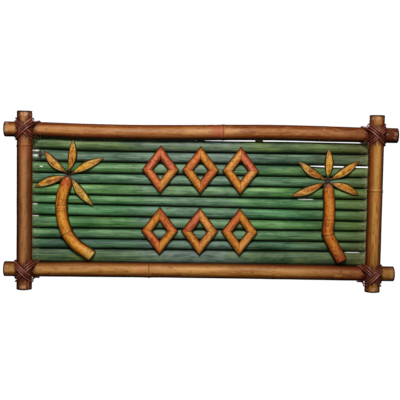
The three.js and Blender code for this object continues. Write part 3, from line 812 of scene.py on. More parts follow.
def culm(node, length, node_share, lashed_at, slide, saddles=(), rebates=()):
    """A whole bamboo culm along X, bored at its ends, with a ridge at its node. Its axis is at the
    bench's origin. saddles are places along it of notches underneath, and rebates of flat slots."""
    piece = rod(node + "_culm", CULM_SIDES, CULM_RADIUS, length)
    half = length / 2
    open_edit(piece)
    for side in (-1, 1):
        pick("FACE", lambda face: face.normal.x * side > 0.9)
        bpy.ops.mesh.inset(thickness=CULM_RADIUS - BORE_RADIUS)
        bpy.ops.mesh.extrude_region_move(
            TRANSFORM_OT_translate={"value": (-side * BORE_DEPTH, 0, 0)})
    pick("EDGE", lambda edge: is_rim(edge, half))
    bpy.ops.mesh.bevel(offset=RIM_ROUND, segments=RIM_SEGMENTS, affect="EDGES")
    solid_half = half - BORE_DEPTH
    cut_evenly(-solid_half, solid_half, int(2 * solid_half / CULM_CUT_SPACING))
    rings = [(node_share * length + place * NODE_WIDTH, height) for place, height in NODE_PROFILE]
    for at, _ in rings:
        cut_across(at)
    for at, height in rings:
        swell_ring(at, height * NODE_RIDGE / CULM_RADIUS)
    close_edit()
    for at in saddles:
        carve(piece, rod(
            "saddle", CULM_SIDES, CULM_RADIUS + SEAT_GAP, 4 * CULM_RADIUS,
            (at, 0, RAIL_HEIGHT - POLE_HEIGHT), (QUARTER_TURN, 0, 0)))
    for at in rebates:
        carve(piece, block(
            "rebate", (BATTEN_WIDTH + 2 * SEAT_GAP, 4 * CULM_RADIUS, CULM_RADIUS),
            (at, 0, SLAT_BACK - RAIL_HEIGHT - CULM_RADIUS / 2)))
    mark_grain(piece)
    skin = culm_skin(
        node + "_skin", length, node_share * length, lashed_at, slide, **CULM_LOOKS[node])
    reach = CULM_RADIUS - RIM_ROUND / 2
    set_finishes(
        piece, skin, cut_end(piece.name + "_end", len(piece.name)),
        lambda face: is_cut_face(face, reach))
    return piece


def is_rim(edge, half):
    """The round edges at both ends of a culm, of its skin and of its bore."""
    first, last = (vertex.co for vertex in edge.verts)
    at_one_end = abs(first.x - last.x) < NEAR and abs(abs(first.x) - half) < NEAR
    return at_one_end and abs(first.yz.length - last.yz.length) < NEAR


def is_cut_face(face, reach):
    """The sawn ends and bores of a culm, and what is notched out of its side."""
    off_axis = face.center.yz.length
    is_across = abs(face.normal.x) > 0.7
    return off_axis < reach - NEAR and (is_across or off_axis < SKIN_REACH * reach)


def pole(node, side, rise, node_share):
    saddles = [level * RAIL_SPACING / 2 - rise for level in (1, -1)]
    piece = culm(node, POLE_LENGTH, node_share, RAIL_SPACING / 2, rise, saddles=saddles)
    move_piece(piece, (side * POLE_SPACING / 2, rise, POLE_HEIGHT), (0, 0, QUARTER_TURN))
    roughen(piece)
    hand_over(piece, node, smooth_under=35)


def rail(node, level, offset_at, node_share):
    rebates = [x - RAIL_SLIDE for x in BATTENS.values()]
    piece = culm(node, RAIL_LENGTH, node_share, POLE_SPACING / 2, RAIL_SLIDE, rebates=rebates)
    for vertex in piece.data.vertices:
        vertex.co.yz *= 1 + RAIL_SWELL * swelling(vertex.co.x + RAIL_SLIDE) / CULM_RADIUS
    move_piece(piece, (RAIL_LENGTH / 2, 0, 0))
    points = []
    for step in range(RAIL_ROUTE_STEPS + 1):
        x = RAIL_SLIDE + RAIL_LENGTH * (step / RAIL_ROUTE_STEPS - 0.5)
        points.append((x, level * (RAIL_SPACING / 2 - RAIL_SWELL * swelling(x)) + offset_at(x)))
    bend_along(piece, points)
    move_piece(piece, (0, 0, RAIL_HEIGHT))
    roughen(piece)
    hand_over(piece, node, smooth_under=35)


def span_share(x):
    """Share of the clear span between the lashings, 0 at the left and 1 at the right."""
    return min(max(x / (POLE_SPACING - 2 * LASH_REACH) + 0.5, 0), 1)


def swelling(x):
    """Share of its swelling that a rail has at a place along it, none where it is lashed."""
    lashed = POLE_SPACING / 2 - LASH_REACH
    return 1 - smooth_rise(abs(x), lashed - RAIL_SWELL_RUN, lashed)


def top_rail_sway(x):
    return -TOP_RAIL_SWAY * math.sin(2 * math.pi * span_share(x))


def bottom_rail_bow(x):
    return BOTTOM_RAIL_BOW * math.sin(math.pi * span_share(x))


# Lashings

ELLIPSE_LONG = WIND_RADIUS * math.sqrt(2)
ELLIPSE_SHORT = WIND_RADIUS


def lift_at(along):
    """How far the upper diagonal rises over the lower one where they cross."""
    inner = FRONT_TURNS * STRAND_PITCH / 2 + STRAND_WIDTH / 2 + STRAND_GAP
    outer = ELLIPSE_LONG - STRAND_THICKNESS / 2
    return (STRAND_THICKNESS + LAYER_GAP) * (1 - smooth_rise(abs(along), inner, outer))


def winding_point(turn, angle, behind):
    """A place of the strand's middle and the way out from the culm there, on the bench."""
    shift = turn["shift_at"](angle)
    along = (shift if behind else -shift) + ELLIPSE_LONG * math.cos(angle)
    height = (RAIL_HEIGHT if behind else POLE_HEIGHT) - ELLIPSE_SHORT * math.sin(angle)
    normal = Vector((ELLIPSE_SHORT * math.cos(angle), ELLIPSE_LONG * math.sin(angle))).normalized()
    lift = lift_at(along) if turn["upper"] else 0
    reach = along + normal.x * lift
    side = 1 if turn["upper"] else -1
    root = math.sqrt(2)
    right, up = (reach + shift) / root, side * (reach - shift) / root
    out = Vector((normal.x / root, side * normal.x / root, -normal.y))
    return Vector((right, up, height - normal.y * lift)), out


def is_behind(angle, shift):
    sideways = -2 * shift * ELLIPSE_SHORT * math.cos(angle)
    forward = (RAIL_HEIGHT - POLE_HEIGHT) * ELLIPSE_LONG * math.sin(angle)
    return sideways + forward < 0


def bridge_angle(angle, shift):
    """Where the strand leaves one culm for the other."""
    slope = math.atan(2 * shift * ELLIPSE_SHORT / (ELLIPSE_LONG * (RAIL_HEIGHT - POLE_HEIGHT)))
    return round((angle - slope) / math.pi) * math.pi + slope


def wind_diagonal(turn):
    """Stations of the turns on one diagonal. In a plane on the diagonal both culms are the same
    ellipse, so a turn follows the hull of the two: round the pole in front, across, round the rail
    behind, and back."""
    sweep = turn["end"] - turn["start"]
    steps = round(abs(sweep) / (2 * math.pi) * LOOP_STEPS)
    stations = []
    behind = is_behind(turn["start"], turn["shift_at"](turn["start"]))
    for step in range(steps + 1):
        angle = turn["start"] + sweep * step / steps
        now = is_behind(angle, turn["shift_at"](angle))
        if now != behind:
            bridge = bridge_angle(angle, turn["shift_at"](angle))
            first, last = winding_point(turn, bridge, behind), winding_point(turn, bridge, now)
            for share in BRIDGE_SHARES:
                stations.append(tuple(a.lerp(b, share) for a, b in zip(first, last)))
            behind = now
        stations.append(winding_point(turn, angle, behind))
    return stations


def crossover():
    """The pass behind the rail that leads from the lower diagonal to the upper one."""
    steps = LOOP_STEPS // 2
    stations = []
    for step in range(1, steps):
        angle = math.pi * (step / steps - 0.5)
        out = Vector((0, math.sin(angle), -math.cos(angle)))
        stations.append((Vector((CROSSOVER_X, 0, RAIL_HEIGHT)) + out * WIND_RADIUS, out))
    return stations


def lashing_stations():
    middle = (FRONT_TURNS - 1) / 2
    whole = 2 * math.pi
    lower = {
        "start": 0.5 * math.pi, "end": whole * FRONT_TURNS, "upper": False,
        "shift_at": lambda angle: STRAND_PITCH * ((angle - 1.5 * math.pi) / whole - middle)}
    upper = {
        "start": 0, "end": 0.5 * math.pi - whole * FRONT_TURNS, "upper": True,
        "shift_at": lambda angle: STRAND_PITCH * ((angle + 0.5 * math.pi) / whole + middle)}
    wound = wind_diagonal(lower) + crossover() + wind_diagonal(upper)
    stations = [wound[0]]
    for station in wound[1:]:
        if (station[0] - stations[-1][0]).length > STRAND_GAP / 2:
            stations.append(station)
    first, last = straight_tail(stations[0], stations[3]), straight_tail(stations[-1], stations[-4])
    return [first] + stations + [last]


def straight_tail(station, neighbour):
    place, out = station
    away = place - neighbour[0]
    away = (away - out * away.dot(out)).normalized()
    return place + away * (STRAND_WIDTH + STRAND_THICKNESS) / 2, out


def lashing(node, side, level):
    """One strand, swept as an oval along its stations, closed at both ends."""
    mirror = Matrix.Diagonal((-side, level, 1))
    corner = Vector((side * POLE_SPACING / 2, level * RAIL_SPACING / 2, 0))
    stations = [(mirror @ place + corner, mirror @ out) for place, out in lashing_stations()]
    points, grain = [], []
    travelled = 0
    for index, (place, out) in enumerate(stations):
        before = stations[max(index - 1, 0)][0]
        after = stations[min(index + 1, len(stations) - 1)][0]
        ahead = (after - before).normalized()
        across = ahead.cross(out).normalized()
        up = across.cross(ahead)
        travelled += (place - before).length
        thin = sum((
            depth * math.sin(travelled * rate + phase)
            for (depth, rate), phase in zip(STRAND_WAVES, (side, level))), start=1)
        for corner_index in range(STRAND_SIDES):
            angle = 2 * math.pi * corner_index / STRAND_SIDES
            wide = math.cos(angle) * STRAND_WIDTH / 2 * min(thin, 1)
            high = math.sin(angle) * STRAND_THICKNESS / 2
            points.append(place + across * wide + up * high)
            grain += [travelled, wide, high]
    count = STRAND_SIDES
    faces = [tuple(reversed(range(count))), tuple(range(len(points) - count, len(points)))]
    for ring in range(len(stations) - 1):
        for edge in range(count):
            a, b = ring * count + edge, ring * count + (edge + 1) % count
            faces.append((a, b, b + count, a + count))
    mesh = bpy.data.meshes.new(node + "_strand")
    mesh.from_pydata(points, [], faces)
    mesh.attributes.new("grain", "FLOAT_VECTOR", "POINT").data.foreach_set("vector", grain)
    piece = set_out(node + "_strand", mesh)
    open_edit(piece)
    pick_all()
    bpy.ops.mesh.normals_make_consistent(inside=False)
    close_edit()
    set_finishes(piece, dark_strand(node + "_skin", 10 + 2 * level + side))
    hand_over(piece, node, smooth_under=60)


# Slats

def slat_edges(index, share):
    """Upper and lower edge of a slat's place in the field, at a share of the way across."""
    top, bottom = (
        down_field(between(SLAT_TOP_LEFT_SHARES[edge], SLAT_TOP_RIGHT_SHARES[edge], share))
        for edge in (index, index + 1))
    joint_lift = FIRST_JOINT_LIFT * (1 - smooth_rise(share, *FIRST_JOINT_LIFT_SHARES))
    if index == 0:
        top += between(*FIRST_SLAT_LIFTS, smooth_rise(share, *FIRST_SLAT_LIFT_SHARES))
        bottom += joint_lift
    if index == 1:
        top += joint_lift
    if index == OPEN_JOINT_INDEX:
        top -= OPEN_JOINT * smooth_rise(share, *OPEN_JOINT_SHARES)
    if index == LAST_SLAT:
        bottom -= LAST_SLAT_TUCK
    return top, bottom


def slat_edges_at(index, x):
    return slat_edges(index, x / SLAT_LENGTH + 0.5)


def slat_nodes(index):
    return [share * SLAT_LENGTH for share in (
        SLAT_LEFT_NODE_SHARES[index], SLAT_RIGHT_NODE_SHARES[index])]


def slat_rings(nodes_at):
    """Places along a slat and its rise there, higher at the ridges of its nodes."""
    cuts = int(SLAT_LENGTH / SLAT_CUT_SPACING)
    evenly = [SLAT_LENGTH * (step / cuts - 0.5) for step in range(cuts + 1)]
    rings = [
        (at, SLAT_RISE) for at in evenly
        if all(abs(at - node_at) > 1.5 * NODE_WIDTH for node_at in nodes_at)]
    for node_at in nodes_at:
        for place, height in NODE_PROFILE:
            rings.append((node_at + place * NODE_WIDTH, SLAT_RISE + height * SLAT_RIDGE))
    return sorted(rings)


def slat(node, index, skin, inside):
    """A length of split bamboo, hollow towards the wall, with two nodes."""
    piece = rod(node + "_split", SLAT_SIDES, 1, SLAT_LENGTH, ends="NOTHING")
    open_edit(piece)
    pick_all()
    bpy.ops.mesh.bisect(plane_co=(0, 0, 0), plane_no=(0, 0, -1), clear_outer=True)
    nodes_at = slat_nodes(index)
    rings = slat_rings(nodes_at)
    for at, _ in rings[1:-1]:
        cut_across(at)
    for at, rise in rings:
        top, bottom = slat_edges_at(index, at)
        pick_ring(at)
        stretch(1, (top - bottom - SLAT_GAP) / 2, rise)
        shift(0, (top + bottom) / 2, SLAT_BACK)
    close_edit()
    use_modifier(piece, "SOLIDIFY", thickness=SLAT_WALL, offset=-1, use_even_offset=False)
    open_edit(piece)
    for at in nodes_at:
        pick("VERT", lambda vertex: abs(vertex.co.x - at) < DIAPHRAGM_WIDTH / 2
             and slat_reach(vertex.co, index) < INNER_REACH)
        stretch(1, 1, DIAPHRAGM_HOLLOW_SHARE, base=SLAT_BACK)
    close_edit()
    if index == LAST_SLAT:
        nip_corners(piece)
    mark_grain(piece)
    centre_grain(piece, index)
    set_finishes(piece, skin, inside, lambda face: is_inside_face(face, index))
    hand_over(piece, node, smooth_under=40)


def slat_reach(place, index):
    """How far a place is from the slat's axis, where 1 is its outer skin."""
    top, bottom = slat_edges_at(index, place.x)
    across = (place.y - (top + bottom) / 2) / ((top - bottom - SLAT_GAP) / 2)
    return math.hypot(across, (place.z - SLAT_BACK) / SLAT_RISE)


def is_inside_face(face, index):
    at_end = abs(face.center.x) > SLAT_LENGTH / 2 - NIP_REACH
    is_nip = at_end and face.center.y < FIELD_BOTTOM + SLAT_WALL
    return slat_reach(face.center, index) < SKIN_REACH and not is_nip


def centre_grain(piece, index):
    """Gives each slat its own grain, as wide as SLAT_HALF_WIDTH on both sides of its axis."""
    for point in piece.data.attributes["grain"].data:
        top, bottom = slat_edges_at(index, point.vector.x)
        off_axis = point.vector.y - (top + bottom) / 2
        point.vector.y = off_axis / (top - bottom) * 2 * SLAT_HALF_WIDTH


def nip_corners(piece):
    """The last slat reaches behind the rail, and is nipped round at its corners to clear the
    lashings."""
    for side in (-1, 1):
        carve(piece, rod(
            "nip", CULM_SIDES, STRAND_RADIUS + STRAND_THICKNESS / 2 + SEAT_GAP, 2 * NIP_REACH,
            (side * SLAT_LENGTH / 2, -RAIL_SPACING / 2, RAIL_HEIGHT)))


# Battens

def row_of(pattern, places):
    """Copies of a pattern at places on the bench, joined into one piece."""
    copies = [copy_piece(pattern, pattern.name) for _ in places]
    for twin, place in zip(copies, places):
        move_piece(twin, place)
    remove_piece(pattern)
    join(copies)
    return copies[0]


def drive_nails(piece, places):
    """Heads of nails along a batten's back, each a little sunk."""
    upright = (0, 0, 0)
    hole = rod("nail_hole", NAIL_SIDES, NAIL_HOLE_RADIUS, 2 * NAIL_SINK, turn=upright)
    carve(piece, row_of(hole, places))
    head = rod(
        "nail_head", NAIL_SIDES, NAIL_RADIUS, NAIL_HEAD, (0, 0, NAIL_SINK - NAIL_HEAD / 2), upright)
    ease_edges(head, NAIL_HEAD / 3, angle=50)
    join([piece, row_of(head, places)])


def nail_places(x):
    """Places of the nails along a batten, one to each slat and rail."""
    levels = [RAIL_SPACING / 2, -RAIL_SPACING / 2]
    levels += [sum(slat_edges_at(index, x)) / 2 for index in range(LAST_SLAT + 1)]
    return [(at, NAIL_STAGGER * (-1) ** step, 0) for step, at in enumerate(sorted(levels))]


def is_nail_face(face, places):
    under_back = abs(face.center.z - NAIL_SINK + NAIL_HEAD / 2) < (NAIL_HEAD + NEAR) / 2
    return under_back and any(
        (face.center.xy - Vector(place).xy).length < NAIL_RADIUS + NEAR for place in places)


def batten(node, x, steel):
    """A sawn board behind the slats, chamfered where it meets the wall, with its nails."""
    length = RAIL_SPACING + 2 * BATTEN_OVERHANG
    piece = block(
        node + "_board", (length, BATTEN_WIDTH, BATTEN_THICKNESS), (0, 0, BATTEN_THICKNESS / 2))
    open_edit(piece)
    pick("EDGE", lambda edge: all(vertex.co.z < NEAR for vertex in edge.verts)
         and abs(edge.verts[0].co.y - edge.verts[1].co.y) < NEAR)
    bpy.ops.mesh.bevel(offset=BATTEN_CHAMFER, segments=1, affect="EDGES")
    cut_evenly(-length / 2, length / 2, BATTEN_CUTS)
    close_edit()
    ease_edges(piece, BATTEN_EASE, angle=50)
    places = nail_places(x)
    drive_nails(piece, places)
    mark_grain(piece)
    skin = sawn_board(node + "_skin", 60 + len(node))
    set_finishes(piece, skin, steel, lambda face: is_nail_face(face, places))
    move_piece(piece, (x, 0, 0), (0, 0, QUARTER_TURN))
    hand_over(piece, node, smooth_under=30)


# Palms

PALE_RIM = "ecc474"
TOP_LEAF_PARED = 0.25
LEAF_PARED = 0.75

# Looks of a leaf are its dark, middle and light tone and how scorched it is. Those of a trunk are
# its tones, the highlight_and_pale tone of its painted highlight and pale flecks, what mottles it
# and how much. head is where another tone starts on the trunk, where it is full, and the tone.
# foot is a share of its length where another tone starts, and the tone.
PALMS = {
    "left_palm": {
        "crown_across_share": -0.389,
        "crown_down_share": 0.2936,
        "leaf_angles": [83, 27, 137, 200, 308.5],
        "leaf_length_shares": [0.452, 0.484, 0.43, 0.456, 0.49],
        "belly_shares": [-0.3, 0.1, 0.35, -0.15, -0.3],
        "leaf_looks": [
            (("94400c", "d8821c", "ecb62a"), 0.04),
            (("944810", "dc9224", "f0ca4a"), 0),
            (("8a3c0e", "cc7824", "e8b84a"), 0.03),
            (("903a0c", "d2781c", "ecb036"), 0.03),
            (("8a5610", "d29a2c", "f0d064"), 0)],
        "trunk_across_shares": [0, -0.03, -0.078, -0.082, -0.048, 0.05, 0.298],
        "trunk_down_shares": [0, 0.12, 0.28, 0.42, 0.62, 0.81, 1],
        "ring_shares": [0.36, 0.62],
        "trunk_looks": (("984e0c", "d27a1a", "ea9c2a"), "f0a840", "b44a14", 0),
        "head": (0.026, 0.014, "b43c22"),
        "foot": (0.86, "d8b45c"),
    },
    "right_palm": {
        "crown_across_share": 0.3786,
        "crown_down_share": 0.3143,
        "leaf_angles": [89, 34, 147, 203, 338],
        "leaf_length_shares": [0.416, 0.475, 0.448, 0.496, 0.436],
        "belly_shares": [-0.15, -0.2, 0.3, 0.2, 0.3],
        "leaf_looks": [
            (("98500c", "dc9422", "f2c634"), 0),
            (("923e0c", "d47e1c", "eeb632"), 0.02),
            (("843a0e", "c47220", "e4aa42"), 0.03),
            (("8e3a0a", "ce721a", "e8a232"), 0.02),
            (("8e3c0c", "cc741c", "e4a436"), 0.02)],
        "trunk_across_shares": [0, 0.01, 0.024, 0.02, 0.012, 0.066, 0.19],
        "trunk_down_shares": [0, 0.14, 0.32, 0.5, 0.63, 0.76, 0.98],
        "ring_shares": [0.63],
        "trunk_looks": (("80320a", "b85c14", "e08622"), "ea983c", "94300e", 0.06),
        "head": (0.016, 0.004, "7c463c"),
        "foot": (0.74, "8e3222"),
    },
}


def palm_crown(palm):
    return palm["crown_across_share"] * SLAT_LENGTH, down_field(palm["crown_down_share"])


def face_height(share):
    """Height of a leaf's face across it, from -1 to 1, as a share of its thickness."""
    side = abs(share)
    if side > LEAF_FACE_SHARE:
        pared = (side - LEAF_FACE_SHARE) / (1 - LEAF_FACE_SHARE)
        return between(LEAF_SHOULDER_SHARE, LEAF_RIM_SHARE, pared)
    return between(1, LEAF_SHOULDER_SHARE, (side / LEAF_FACE_SHARE) ** 2)


def leaf(palm_name, index):
    """A pointed blade with a pared rim, from a grid that is drawn up, crowned and narrowed."""
    node = f"{palm_name}_leaf_{index + 1}"
    palm = PALMS[palm_name]
    length = palm["leaf_length_shares"][index] * PALM_HEIGHT - LEAF_START
    bpy.ops.mesh.primitive_grid_add(
        x_subdivisions=LEAF_COLUMNS, y_subdivisions=LEAF_ROWS, size=1, location=(0.5, 0, 0))
    piece = new_piece(node + "_blade")
    open_edit(piece)
    pick_all()
    bpy.ops.mesh.extrude_region_move(TRANSFORM_OT_translate={"value": (0, 0, 1)})
    for row in range(LEAF_ROWS + 1):
        share = 2 * row / LEAF_ROWS - 1
        pick("VERT", lambda vertex: abs(2 * vertex.co.y - share) < NEAR)
        stretch(1, 1, face_height(share))
    for column in range(LEAF_COLUMNS + 1):
        share = column / LEAF_COLUMNS
        width = smooth_table(LEAF_STATION_SHARES, LEAF_WIDTH_SHARES, share)
        belly = palm["belly_shares"][index] * LEAF_WIDTH / 2 * math.sin(math.pi * share) ** 2
        pick_ring(share)
        stretch(1, LEAF_WIDTH * width, LEAF_THICKNESS * math.sqrt(width))
        shift(0, belly)
    pick_all()
    stretch(length, 1, 1)
    shift(LEAF_START, 0)
    bpy.ops.mesh.normals_make_consistent(inside=False)
    close_edit()
    mark_grain(piece)
    tones, scorch = palm["leaf_looks"][index]
    angle = math.radians(palm["leaf_angles"][index])
    set_finishes(piece, leaf_skin(
        node + "_skin", 80 + index + len(palm_name), tones, scorch,
        low_side=-1 if math.cos(angle) > 0.2 else 1,
        pared_amount=LEAF_PARED if index else TOP_LEAF_PARED))
    move_piece(piece, (*palm_crown(palm), TRIM_BACK), (0, 0, angle))
    hand_over(piece, node, smooth_under=22)


def planed_cane(name, radius, depth, length, sides):
    """A round cane along X from 0, planed flat underneath and lying on the bench."""
    piece = rod(name, sides, radius, length, (length / 2, 0, depth - radius))
    open_edit(piece)
    slice_off((0, 0, 0), (0, 0, -1))
    close_edit()
    return piece


def trunk(palm_name):
    """A cane with a pointed top and slight rings, bent along the palm's route."""
    node = palm_name + "_trunk"
    palm = PALMS[palm_name]
    x, y = palm_crown(palm)
    shares = zip(palm["trunk_across_shares"], palm["trunk_down_shares"])
    points = [(x + across * PALM_HEIGHT, y - down * PALM_HEIGHT) for across, down in shares]
    length = route_length(points)
    rings_at = [share * length for share in palm["ring_shares"]]
    piece = planed_cane(node + "_cane", TRUNK_RADIUS, TRUNK_DEPTH, length, TRUNK_SIDES)
    open_edit(piece)
    slice_off((TRUNK_START, 0, 0), (-1, 0, 0))
    for side in (-1, 1):
        outward = Vector((TRUNK_TIP - TRUNK_RADIUS, side * TRUNK_POINT, 0)).normalized()
        slice_off((TRUNK_START, side * TRUNK_TIP, 0), outward)
    cut_evenly(0, length, int(length / TRUNK_CUT_SPACING), first=TRUNK_FIRST_CUT)
    for ring_at in rings_at:
        for place, height in NODE_PROFILE:
            at = ring_at + place * TRUNK_RING_WIDTH / 2
            cut_across(at)
            swell_ring(at, height * TRUNK_RING / TRUNK_RADIUS)
    close_edit()
    ease_edges(piece, TRUNK_EASE)
    mark_grain(piece)
    foot_share, foot_tone = palm["foot"]
    skin = cane_skin(
        node + "_skin", 70 + len(palm_name), TRUNK_RADIUS, palm["trunk_looks"], rings_at,
        ends=[palm["head"], (foot_share * length, length, foot_tone)])
    end_wood = cut_end(piece.name + "_end", len(piece.name), light="e0bd84", dark="c08b4c")
    set_finishes(
        piece, skin, end_wood, lambda face: face.normal.x > 0.8 and face.center.x > length / 2)
    bend_along(piece, points)
    move_piece(piece, (0, 0, TRIM_BACK))
    hand_over(piece, node, smooth_under=30)


# Lozenges

def stick(name, side_x, side_y):
    """One edge of a lozenge round the bench's origin: half round cane, mitred at both corners."""
    half_width, half_height = LOZENGE_WIDTH / 2, LOZENGE_HEIGHT / 2
    start = Vector((side_x * half_width, 0, 0))
    end = Vector((0, side_y * half_height, 0))
    along = end - start
    piece = planed_cane(name, STICK_WIDTH / 2, STICK_DEPTH, along.length, STICK_SIDES)
    move_piece(piece, (-along.length / 2, 0, 0))
    open_edit(piece)
    cut_evenly(-along.length / 2, along.length / 2, STICK_CUTS)
    close_edit()
    mark_grain(piece)
    inward = Vector((-side_x * half_height, -side_y * half_width, 0)).normalized()
    middle = (start + end) / 2 + inward * STICK_WIDTH / 2
    move_piece(piece, middle, (0, 0, math.atan2(along.y, along.x)))
    open_edit(piece)
    slice_off((0, side_y * SEAT_GAP / 2, 0), (0, -side_y, 0))
    slice_off((side_x * SEAT_GAP / 2, 0, 0), (-side_x, 0, 0))
    close_edit()
    ease_edges(piece, STICK_EASE, segments=3)
    return piece


# Stage, lights and camera

CAMERA_LENS = 70
CAMERA_SENSOR = 36
CAMERA_AZIMUTH = -1.19
CAMERA_ELEVATION = 3.36
CAMERA_ROLL = 0.95
CAMERA_DISTANCE = 1.2207
CAMERA_TARGET = (0.00016, -0.0038, 0.0025)
FLOOR_SIZE = 4
FLOOR_LEVEL = -1.2
FLOOR_GLOW = 0.6
SURROUND_LIGHT = 0.04
SURROUND_SHOWN = 1.05


def stand_round(thing, azimuth, elevation, distance, target=(0, 0, 0), roll=0):
    """Places a lamp or camera round the sign, as a view is named, and faces it to a target."""
    a, e = math.radians(azimuth), math.radians(elevation)
    back = Vector((math.sin(a) * math.cos(e), -math.cos(a) * math.cos(e), math.sin(e)))
    thing.location = Vector(target) + back * distance
    thing.rotation_mode = "QUATERNION"
    rolled = Quaternion((0, 0, 1), math.radians(roll))
    thing.rotation_quaternion = (-back).to_track_quat("-Z", "Y") @ rolled


def light(name, size, power, azimuth, elevation, distance):
    """A soft square lamp that faces the sign."""
    data = bpy.data.lights.new(name, "AREA")
    data.shape = "SQUARE"
    data.size = size
    data.energy = power
    stand_round(set_out(name, data), azimuth, elevation, distance)


def place_camera():
    data = bpy.data.cameras.new("camera")
    data.lens = CAMERA_LENS
    data.sensor_width = CAMERA_SENSOR
    camera = set_out("camera", data)
    stand_round(
        camera, CAMERA_AZIMUTH, CAMERA_ELEVATION, CAMERA_DISTANCE, CAMERA_TARGET, CAMERA_ROLL)
    bpy.context.scene.camera = camera


def white_surround():
    """A white ground behind the sign, which lights it less than it shows."""
    world = bpy.data.worlds.new("white_surround")
    world.use_nodes = True
    nodes, links = world.node_tree.nodes, world.node_tree.links
    nodes["Background"].inputs["Color"].default_value = (1, 1, 1, 1)
    path = nodes.new("ShaderNodeLightPath")
    strength = nodes.new("ShaderNodeMapRange")
    strength.inputs["To Min"].default_value = SURROUND_LIGHT
    strength.inputs["To Max"].default_value = SURROUND_SHOWN
    links.new(path.outputs["Is Camera Ray"], strength.inputs["Value"])
    links.new(strength.outputs[0], nodes["Background"].inputs["Strength"])
    bpy.context.scene.world = world


def pale_floor():
    """A floor that shows paler than the lamps light it, and gives the sign no light."""
    bpy.ops.mesh.primitive_plane_add(size=FLOOR_SIZE, location=(0, 0, FLOOR_LEVEL))
    floor = new_piece("floor")
    paint = Finish("floor_paint", roughness=0.8, base_color="e8e6e1", emission_color="e8e6e1",
                   emission_strength=FLOOR_GLOW)
    floor.visible_diffuse = floor.visible_glossy = False
    floor.data.materials.append(paint.material)


place_camera()
white_surround()
pale_floor()
light("key_softbox", size=0.35, power=15, azimuth=-4, elevation=34, distance=1.3)
light("fill_softbox", size=1.0, power=2, azimuth=4, elevation=6, distance=1.6)
light("back_softbox", size=0.5, power=10, azimuth=184, elevation=14, distance=1.5)
bpy.context.scene.view_settings.view_transform = "Standard"

# Assembly

pole("left_pole", -1, LEFT_POLE_RISE, LEFT_POLE_NODE_SHARE)
pole("right_pole", 1, RIGHT_POLE_RISE, RIGHT_POLE_NODE_SHARE)
rail("top_rail", 1, top_rail_sway, TOP_RAIL_NODE_SHARE)
rail("bottom_rail", -1, bottom_rail_bow, BOTTOM_RAIL_NODE_SHARE)
for level_name, level in (("top", 1), ("bottom", -1)):
    for side_name, side in (("left", -1), ("right", 1)):
        lashing(f"lashing_{level_name}_{side_name}", side, level)

# Stain of each slat from the top: dark, middle and light tone, wear and painted sheen, and
# yellowing
SLAT_STAINS = [
    (("283c20", "526c3c", "84985c"), 0.02, 0.05),
    (("283e2e", "4e6c50", "829e80"), 0.06, 0),
    (("284c26", "4e7c44", "84aa72"), 0, 0),
    (("284a2e", "4e7c54", "86aa80"), 0.04, 0),
    (("2c5426", "568a46", "90ba76"), 0, 0.02),
    (("224a26", "467a44", "78a66c"), 0.02, 0),
    (("204e2a", "457e4a", "76aa74"), 0.02, 0),
    (("224c22", "477c3e", "7aa866"), 0, 0.02),
    (("284a28", "4c7848", "80a674"), 0.05, 0),
    (("1e3c26", "3c6442", "688e68"), 0.03, 0),
    (("223a20", "44603a", "748c60"), 0.04, 0.02),
]
# Chips in the stain, by the slat's number: place and reach along it, place and reach across it
SLAT_CHIPS = {
    2: [(-0.256, 0.0066, 0.0068, 0.0013), (-0.255, 0.0042, -0.0002, 0.0022)],
    3: [(-0.246, 0.0022, 0.0012, 0.0013)],
    6: [(0.165, 0.0135, 0.0078, 0.0008)],
    7: [(-0.257, 0.0044, 0.0078, 0.0009)],
    8: [(-0.256, 0.006, 0.0078, 0.0007)],
    11: [(0.24, 0.013, 0.0078, 0.0005)],
}
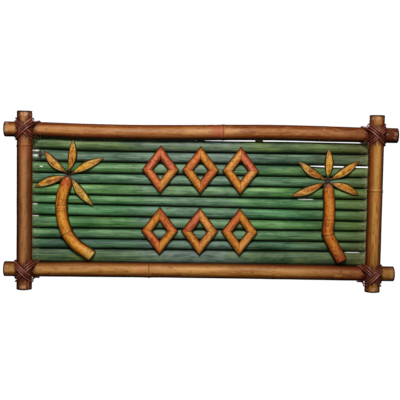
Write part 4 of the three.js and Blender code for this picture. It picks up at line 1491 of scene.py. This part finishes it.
# Dark spots, by the slat's number: place along it and across it. Those at the palms' crowns,
# on slats 3 and 4, are painted shade where the leaves meet
SLAT_BLOTS = {
    2: [(-0.255, 0.004), (-0.248, 0.0012)],
    3: [(-0.2034, -0.008)],
    4: [(-0.2034, 0.0058), (0.198, 0.0024)],
}
slat_inside = split_inside("slat_inside", 30)
for index, (tones, wear_and_sheen, yellow) in enumerate(SLAT_STAINS):
    number = index + 1
    node = f"slat_{number:02d}"
    skin = slat_skin(
        node + "_skin", 40 + index, tones, wear_and_sheen, yellow, slat_nodes(index),
        SLAT_CHIPS.get(number, ()), SLAT_BLOTS.get(number, ()))
    slat(node, index, skin, slat_inside)

steel = nail_steel("nail_steel", 90)
for batten_name, x in BATTENS.items():
    batten(f"batten_{batten_name}", x, steel)

for palm_name, palm in PALMS.items():
    trunk(palm_name)
    for index in range(len(palm["leaf_angles"])):
        leaf(palm_name, index)

# Looks of the sticks, drawn by lot: tones, the highlight_and_pale tone of the painted highlight
# and pale flecks, what mottles it and how much
STICK_LOOKS = [
    (("8a3208", "c45a1e", "dc7e38"), "e4884a", "982c14", 0.03),
    (("863e0a", "c66e1e", "e09236"), "e69e42", "a03c12", 0),
    (("84240a", "b44c22", "d06e40"), "de8256", "86220f", 0.05),
    (("8c420a", "cc7624", "e69a44"), "eca858", "a23e16", 0),
]
draw = random.Random(5)
quadrants = [(1, 1), (-1, 1), (-1, -1), (1, -1)]
patterns = [stick(f"stick_pattern_{index + 1}", *sides) for index, sides in enumerate(quadrants)]
for row, down_share in enumerate(ROW_DOWN_SHARES):
    for column in range(LOZENGES_PER_ROW):
        x = (column - (LOZENGES_PER_ROW - 1) / 2) * (LOZENGE_WIDTH + LOZENGE_GAP)
        lozenge = row * LOZENGES_PER_ROW + column + 1
        for index, pattern in enumerate(patterns):
            node = f"lozenge_{lozenge}_stick_{index + 1}"
            piece = copy_piece(pattern, node + "_cane")
            set_finishes(piece, cane_skin(
                node + "_skin", 4 * lozenge + index, STICK_WIDTH / 2, draw.choice(STICK_LOOKS)))
            move_piece(piece, (x, down_field(down_share), TRIM_BACK))
            hand_over(piece, node, smooth_under=30)
for pattern in patterns:
    remove_piece(pattern)
